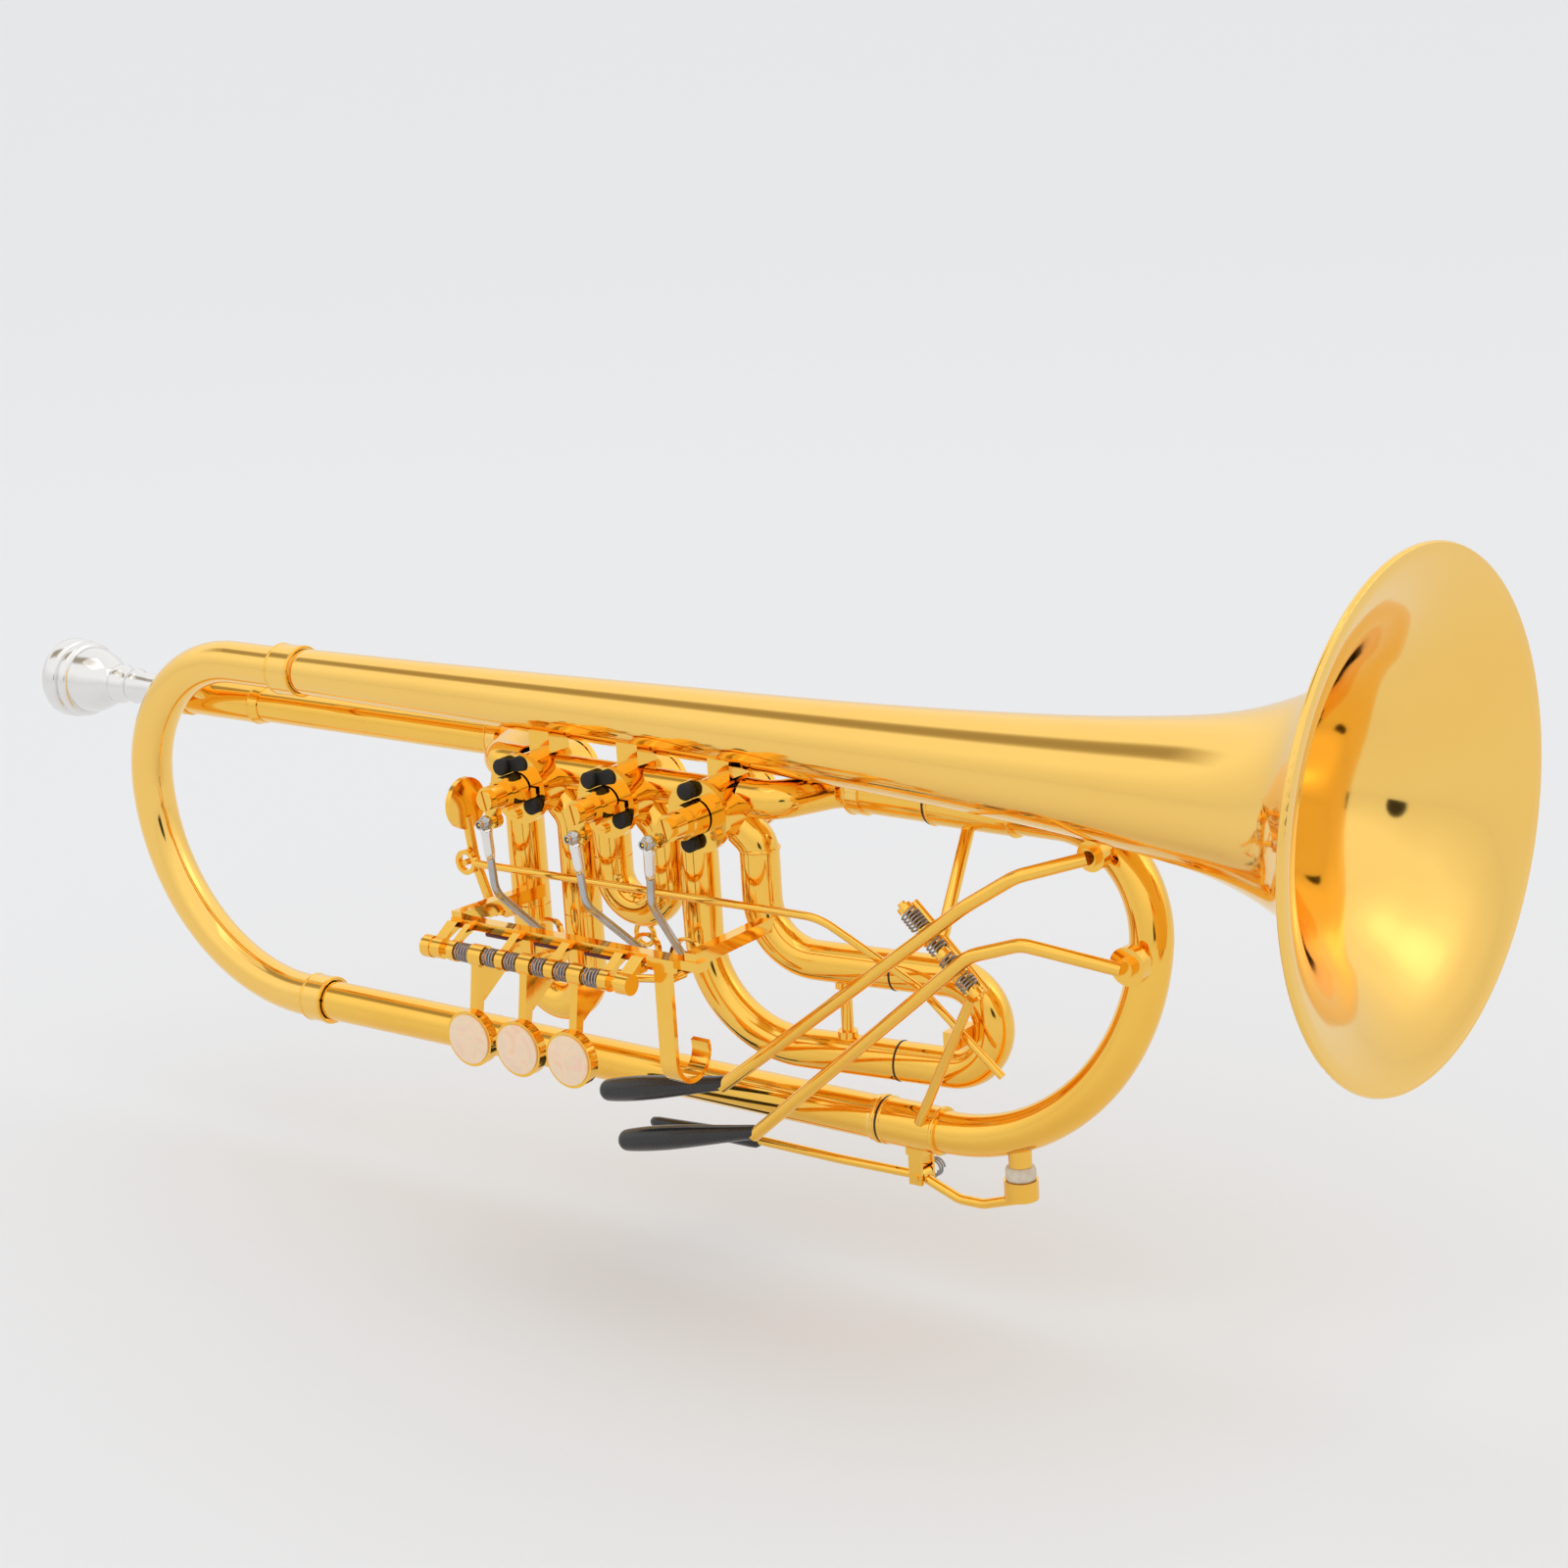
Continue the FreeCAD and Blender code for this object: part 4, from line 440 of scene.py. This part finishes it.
def turned_shape(profile, centre, axis, steps=TUBE_TURN):
    """A closed turned form from (along, radius) points about an axis."""
    shape = bmesh.new()
    along = Vector(axis).normalized()
    side = along.orthogonal().normalized()
    start = mm(*centre)
    points = [shape.verts.new(start + along * a * MM + side * r * MM) for a, r in profile]
    edges = [shape.edges.new(pair) for pair in zip(points, points[1:])]
    if profile[0][1] > ON_AXIS and profile[-1][1] > ON_AXIS:
        edges.append(shape.edges.new((points[-1], points[0])))
    bmesh.ops.spin(shape, geom=points + edges, cent=start, axis=along,
                   angle=2 * math.pi, steps=steps, use_merge=True)
    return shape


def bead(radius, thick, height):
    """The outline of a raised round bead on a tube: (along, radius) points."""
    outline = [(-thick / 2, radius - BEAD_SINK)]
    for step in range(BEAD_SEGMENTS + 1):
        angle = math.pi * step / BEAD_SEGMENTS
        outline.append((-math.cos(angle) * thick / 2, radius + math.sin(angle) * height))
    outline.append((thick / 2, radius - BEAD_SINK))
    return outline


def make_beads():
    """Raised beads at the ends of the ferrules and of the receiver."""
    for body, rows in BEADS.items():
        for name, place, radius in rows:
            shape = turned_shape(bead(radius, BEAD_THICK, BEAD_HEIGHT), place, ALONG_X)
            new_piece(name, shape, LACQUER, body)


def make_grips():
    """Teardrop rubber grips that replace the plain ones."""
    for letter, butt, tip, body in GRIPS:
        way = mm(*tip) - mm(*butt)
        length = way.length / MM
        outline = list(GRIP_BUTT)
        outline += [(GRIP_END + share * length, radius) for share, radius in GRIP_SWELL]
        nose = length - GRIP_END
        for step in range(1, GRIP_NOSE_STEPS + 1):
            angle = math.pi / 2 * step / GRIP_NOSE_STEPS
            radius = GRIP_NOSE_RADIUS * math.cos(angle) if step < GRIP_NOSE_STEPS else 0.0
            outline.append((nose + GRIP_NOSE_LENGTH * math.sin(angle), radius))
        shape = turned_shape(outline, butt, way, GRIP_TURN)
        piece = new_piece(f"rubber_grip_{letter}", shape, RUBBER, body)
        soften = piece.modifiers.new("Round", "SUBSURF")
        soften.levels = 1
        soften.render_levels = 1
        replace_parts(piece, f"vent_grip_{letter}")


def smooth_curve(points, steps):
    """Points on a smooth line through the given ones, evenly shared between each two."""
    ends = [points[0], *points, points[-1]]
    line = []
    for a, b, c, d in zip(ends, ends[1:], ends[2:], ends[3:]):
        for step in range(steps):
            t = step / steps
            line.append(tuple(
                0.5 * (2 * q + (r - p) * t + (2 * p - 5 * q + 4 * r - u) * t * t
                       + (3 * q - p - 3 * r + u) * t ** 3)
                for p, q, r, u in zip(a, b, c, d)))
    line.append(points[-1])
    return line


def make_bell():
    """One smooth spun bell that stands for the four sections of the solid one."""
    outside = smooth_curve(BELL_CURVE, BELL_STEPS)
    inside = []
    for ahead, here, behind in zip([outside[0], *outside], outside, [*outside[1:], outside[-1]]):
        along = Vector((ahead[0] - behind[0], ahead[1] - behind[1])).normalized()
        inside.append((here[0] + along.y * BELL_WALL, here[1] - along.x * BELL_WALL))
    inside = [(LIP_X, LIP_RADIUS)] + [(min(x, LIP_X), radius) for x, radius in inside[1:]]
    shape = turned_shape(outside + inside[::-1], (0, 0, 0), ALONG_X, BELL_TURN)
    piece = new_piece("bell_body", shape, LACQUER_BELL, "horn")
    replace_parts(piece, "bell_flare", "bell_throat", "bell_stem_front", "bell_stem_rear")


def make_mouthpiece():
    """Silver mouthpiece with its rim, two turned grooves, round cup and bead."""
    shape = turned_shape(MOUTHPIECE_OUTLINE, (MOUTHPIECE_X, LEAD_Y, LEAD_Z), ALONG_X, MOUTHPIECE_TURN)
    piece = new_piece("mouthpiece_body", shape, SILVER, "mouthpiece_piece")
    piece.data.set_sharp_from_angle(angle=math.radians(MOUTHPIECE_SHARP))
    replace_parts(piece, "mouthpiece")


def valve_spot(index, angle, radius, y=PLATE_Y):
    """A place on a valve's front plate, from its angle and distance from the middle."""
    turn = math.radians(angle)
    return VALVE_X[index] + radius * math.cos(turn), y, VALVE_Z + radius * math.sin(turn)


def heart_shape(index):
    """The flat heart of one valve: two round lobes and a point, raised from the plate."""
    shape = bmesh.new()
    outline = [(0.0, HEART_POINT)]
    for side in (1, -1):
        arc = [(side * (HEART_ACROSS + HEART_LOBE * math.cos(math.radians(a))),
                HEART_OUT + HEART_LOBE * math.sin(math.radians(a))) for a in HEART_ARC]
        outline += arc if side > 0 else arc[::-1]
    middle = math.radians(HEART_ANGLE)
    verts = []
    for across, out in outline:
        x = VALVE_X[index] + out * math.cos(middle) + across * math.sin(middle)
        z = VALVE_Z + out * math.sin(middle) - across * math.cos(middle)
        verts.append(shape.verts.new(mm(x, PLATE_Y, z)))
    grown = bmesh.ops.extrude_face_region(shape, geom=[shape.faces.new(verts)])
    moved = [item for item in grown["geom"] if isinstance(item, bmesh.types.BMVert)]
    bmesh.ops.translate(shape, verts=moved, vec=mm(0, -HEART_THICK, 0))
    rim = [edge for edge in shape.edges if all(vert in moved for vert in edge.verts)]
    bmesh.ops.bevel(shape, geom=rim, affect="EDGES", offset=HEART_ROUND * MM, segments=3,
                    profile=0.5, material=-1)
    return shape


def make_corks():
    """Round stop corks with softened ends, and the flat heart beside the upper one of two valves."""
    corks = []
    for index, angles in enumerate(CORK_ANGLES):
        for number, angle in enumerate(angles):
            spot = valve_spot(index, angle, CORK_REACH)
            shape = turned_shape(CORK_OUTLINE, spot, LEVER_SIDE, SMALL_TURN)
            name = f"stop_cork_{index + 1}_{number + 1}"
            corks.append(new_piece(name, shape, BUMPER, "horn"))
    for index in HEART_VALVES:
        new_piece(f"heart_pad_{index + 1}", heart_shape(index), BUMPER, "horn",
                  smooth=False)
    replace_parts(corks[0], "stop_corks")


def make_felts():
    """Small felt pads under the rail, rounded at every edge."""
    for number, x in enumerate(FELT_X):
        shape = bmesh.new()
        bmesh.ops.create_cube(shape, size=1.0)
        bmesh.ops.scale(shape, verts=shape.verts, vec=mm(*FELT_SIZE))
        bmesh.ops.translate(shape, verts=shape.verts, vec=mm(x, FELT_Y, FELT_Z))
        bmesh.ops.bevel(shape, geom=shape.edges[:], affect="EDGES", offset=FELT_ROUND * MM, segments=4,
                        profile=0.5, material=-1)
        piece = new_piece(f"felt_pad_{number + 1}", shape, FELT, "horn")
        if number == 0:
            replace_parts(piece, "stop_felts")


def make_water_key_soft():
    """Cork pad in the water key's cup, and the slim rubber sleeve on its touch."""
    low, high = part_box("water_key_pad")
    middle = ((low[0] + high[0]) / 2 / MM, (low[1] + high[1]) / 2 / MM, high[2] / MM)
    shape = turned_shape(PAD_OUTLINE, middle, DOWN, GRIP_TURN)
    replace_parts(new_piece("cork_pad", shape, CORK, "drain_key"), "water_key_pad")
    way = mm(*TOUCH_END) - mm(*TOUCH_START)
    shape = turned_shape(TOUCH_OUTLINE, TOUCH_START, way, SMALL_TURN)
    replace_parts(new_piece("slim_grip", shape, RUBBER, "drain_key"), "water_key_grip")


def make_joint_gap_shades():
    """Dark rings of painted shade where the slides leave their sleeves, and the bead on the third slide's
    sleeve.
    """
    yaw = Vector((math.cos(math.radians(THIRD_YAW)), math.sin(math.radians(THIRD_YAW)), 0))
    valve = Vector((VALVE_X[2], PORT_Y, 0))
    third = valve + yaw * THIRD_LINE_REACH
    rows = (
        ("main_low_gap_shade", (LOW_LINE_X, 0, LOW_Z), ALONG_X, MAIN_TUBE_RADIUS),
        ("main_upper_gap_shade", (UPPER_LINE_X, LEAD_Y, LEAD_Z), ALONG_X, MAIN_TUBE_RADIUS),
        ("third_upper_gap_shade", (third.x, third.y, THIRD_LINE_Z[0]), yaw, THIRD_TUBE_RADIUS),
        ("third_low_gap_shade", (third.x, third.y, THIRD_LINE_Z[1]), yaw, THIRD_TUBE_RADIUS),
    )
    # Thin dark rings, just proud of the tube, as painted shade of the gap at each sleeve's end
    for name, centre, axis, radius in rows:
        outline = [(-LINE_HALF, radius - LINE_DEPTH), (-LINE_HALF, radius), (0.0, radius + LINE_RISE),
                   (LINE_HALF, radius), (LINE_HALF, radius - LINE_DEPTH)]
        new_piece(name, turned_shape(outline, centre, axis), SLIDE_JOINT_SHADE, "horn")
    leg = valve + yaw * THIRD_BEAD_REACH
    shape = turned_shape(bead(*THIRD_BEAD), (leg.x, leg.y, THIRD_BEAD_Z), ALONG_Z)
    new_piece("third_sleeve_bead", shape, LACQUER, "horn")


def make_ball_ends():
    """Round steel ends and tapered collars of the ball joints, each end with a black disc of painted shade
    for its hollow.
    """
    for index, (angle, low_x, bend_z) in enumerate(BALL_JOINTS):
        middle = valve_spot(index, angle, BALL_REACH, LINK_Y)
        bend = (middle[0] + (low_x - middle[0]) * BEND_SHARE, LINK_Y, bend_z)
        front = min(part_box(f"{node}_{index + 1}")[0][1] for node in ("link", "stop_arm")) / MM
        spot = valve_spot(index, angle, BALL_REACH, front + BALL_PROUD)
        for name, outline, place, axis, finish in (
            ("link_collar", COLLAR_OUTLINE, middle, Vector(bend) - Vector(middle), SILVER),
            ("ball_end", RING_OUTLINE, spot, LEVER_SIDE, STEEL),
            # A black disc as painted shade of the hollow in the ball end
            ("painted_hollow_shade", HOLLOW_SHADE_OUTLINE, spot, LEVER_SIDE, BUMPER),
        ):
            new_piece(f"{name}_{index + 1}", turned_shape(outline, place, axis, SMALL_TURN), finish,
                      f"valve_link_{index + 1}")


def make_floor():
    """Pale floor, wide enough to fill the view, shaded only by the object's shadow."""
    low = cad_box[0][2]
    shape = bmesh.new()
    bmesh.ops.create_grid(shape, x_segments=1, y_segments=1, size=FLOOR_REACH)
    bmesh.ops.translate(shape, verts=shape.verts, vec=(0, 0, low - FLOOR_DROP))
    mesh = bpy.data.meshes.new("floor")
    shape.to_mesh(mesh)
    shape.free()
    floor = bpy.data.objects.new("floor", mesh)
    bpy.context.scene.collection.objects.link(floor)
    material, *_, surface = node_tree("pale_floor")
    surface.inputs["Base Color"].default_value = FLOOR_COLOUR
    surface.inputs["Roughness"].default_value = FLOOR_ROUGHNESS
    surface.inputs["Specular IOR Level"].default_value = 0.0
    mesh.materials.append(material)


def math_node(nodes, kind, operation, *values):
    """A math node with plain values in its inputs after the first."""
    node = nodes.new(kind)
    node.operation = operation
    for place, value in enumerate(values, 1):
        node.inputs[place].default_value = value
    return node


def make_world():
    """A pale room with a dark beam overhead, a dark stand to one side and a soft window."""
    world = bpy.data.worlds.new("studio")
    bpy.context.scene.world = world
    world.use_nodes = True
    nodes = world.node_tree.nodes
    links = world.node_tree.links
    nodes.clear()
    out = nodes.new("ShaderNodeOutputWorld")
    room = add(nodes, "ShaderNodeBackground", Strength=1.0)
    way = nodes.new("ShaderNodeTexCoord").outputs["Generated"]
    split = nodes.new("ShaderNodeSeparateXYZ")
    height = ramp(nodes, ROOM_BY_HEIGHT)
    links.new(way, split.inputs[0])
    links.new(split.outputs["Z"], height.inputs["Fac"])

    # The beam runs along X, so its tones follow the direction without its X, and fade toward both ends
    flat = math_node(nodes, "ShaderNodeVectorMath", "MULTIPLY", (0, 1, 1))
    unit = math_node(nodes, "ShaderNodeVectorMath", "NORMALIZE")
    half = math_node(nodes, "ShaderNodeMath", "MULTIPLY_ADD", 0.5, 0.5)
    reach = ramp(nodes, STRIPE_REACH)
    links.new(way, flat.inputs[0])
    links.new(flat.outputs[0], unit.inputs[0])
    links.new(split.outputs["X"], half.inputs[0])
    links.new(half.outputs[0], reach.inputs["Fac"])

    tone = height.outputs["Color"]
    for source, toward, stops, blend, share in (
        (unit.outputs[0], STRIPE_WAY, STRIPE_TONES, "MULTIPLY", reach.outputs["Color"]),
        (way, STAND_WAY, STAND_TONES, "MULTIPLY", None),
        (way, WINDOW_WAY, WINDOW_TONES, "ADD", None),
    ):
        facing = math_node(nodes, "ShaderNodeVectorMath", "DOT_PRODUCT", toward)
        shade = ramp(nodes, stops)
        mixed = nodes.new("ShaderNodeMix")
        mixed.data_type = "RGBA"
        mixed.blend_type = blend
        mixed.inputs["Factor"].default_value = 1.0
        if share:
            links.new(share, mixed.inputs["Factor"])
        links.new(source, facing.inputs[0])
        links.new(facing.outputs["Value"], shade.inputs["Fac"])
        links.new(tone, mixed.inputs[MIX_COLOURS[0]])
        links.new(shade.outputs["Color"], mixed.inputs[MIX_COLOURS[1]])
        tone = mixed.outputs[MIX_COLOUR_OUT]
    links.new(tone, room.inputs["Color"])
    links.new(room.outputs[0], out.inputs["Surface"])


def make_lamp():
    """One large soft panel overhead, which gives the object its faint shadow."""
    lamp = bpy.data.lights.new("overhead_panel", "AREA")
    lamp.shape = "RECTANGLE"
    lamp.size = LAMP_SIZE
    lamp.size_y = LAMP_SIZE
    lamp.energy = LAMP_POWER
    panel = bpy.data.objects.new("overhead_panel", lamp)
    panel.location = LAMP_PLACE
    panel.rotation_euler = (Vector(LAMP_AIM) - Vector(LAMP_PLACE)).to_track_quat("-Z", "Y").to_euler()
    bpy.context.scene.collection.objects.link(panel)


def make_camera():
    """The camera of the photograph."""
    data = bpy.data.cameras.new("photo_camera")
    data.sensor_width = SENSOR_WIDTH
    data.lens = FOCAL_PIXELS / PHOTO_PIXELS * SENSOR_WIDTH
    camera = bpy.data.objects.new("photo_camera", data)
    turn = Matrix((Vector(CAMERA_RIGHT), -Vector(CAMERA_DOWN), -Vector(CAMERA_AHEAD))).transposed()
    camera.matrix_world = Matrix.Translation(Vector(CAMERA_PLACE)) @ turn.to_4x4()
    bpy.context.scene.collection.objects.link(camera)
    bpy.context.scene.camera = camera


dress_frame()
make_bell()
make_mouthpiece()
make_corks()
make_felts()
make_beads()
make_joint_gap_shades()
make_ball_ends()
make_grips()
make_water_key_soft()
make_floor()
make_world()
make_lamp()
make_camera()
bpy.context.scene.view_settings.view_transform = "Standard"
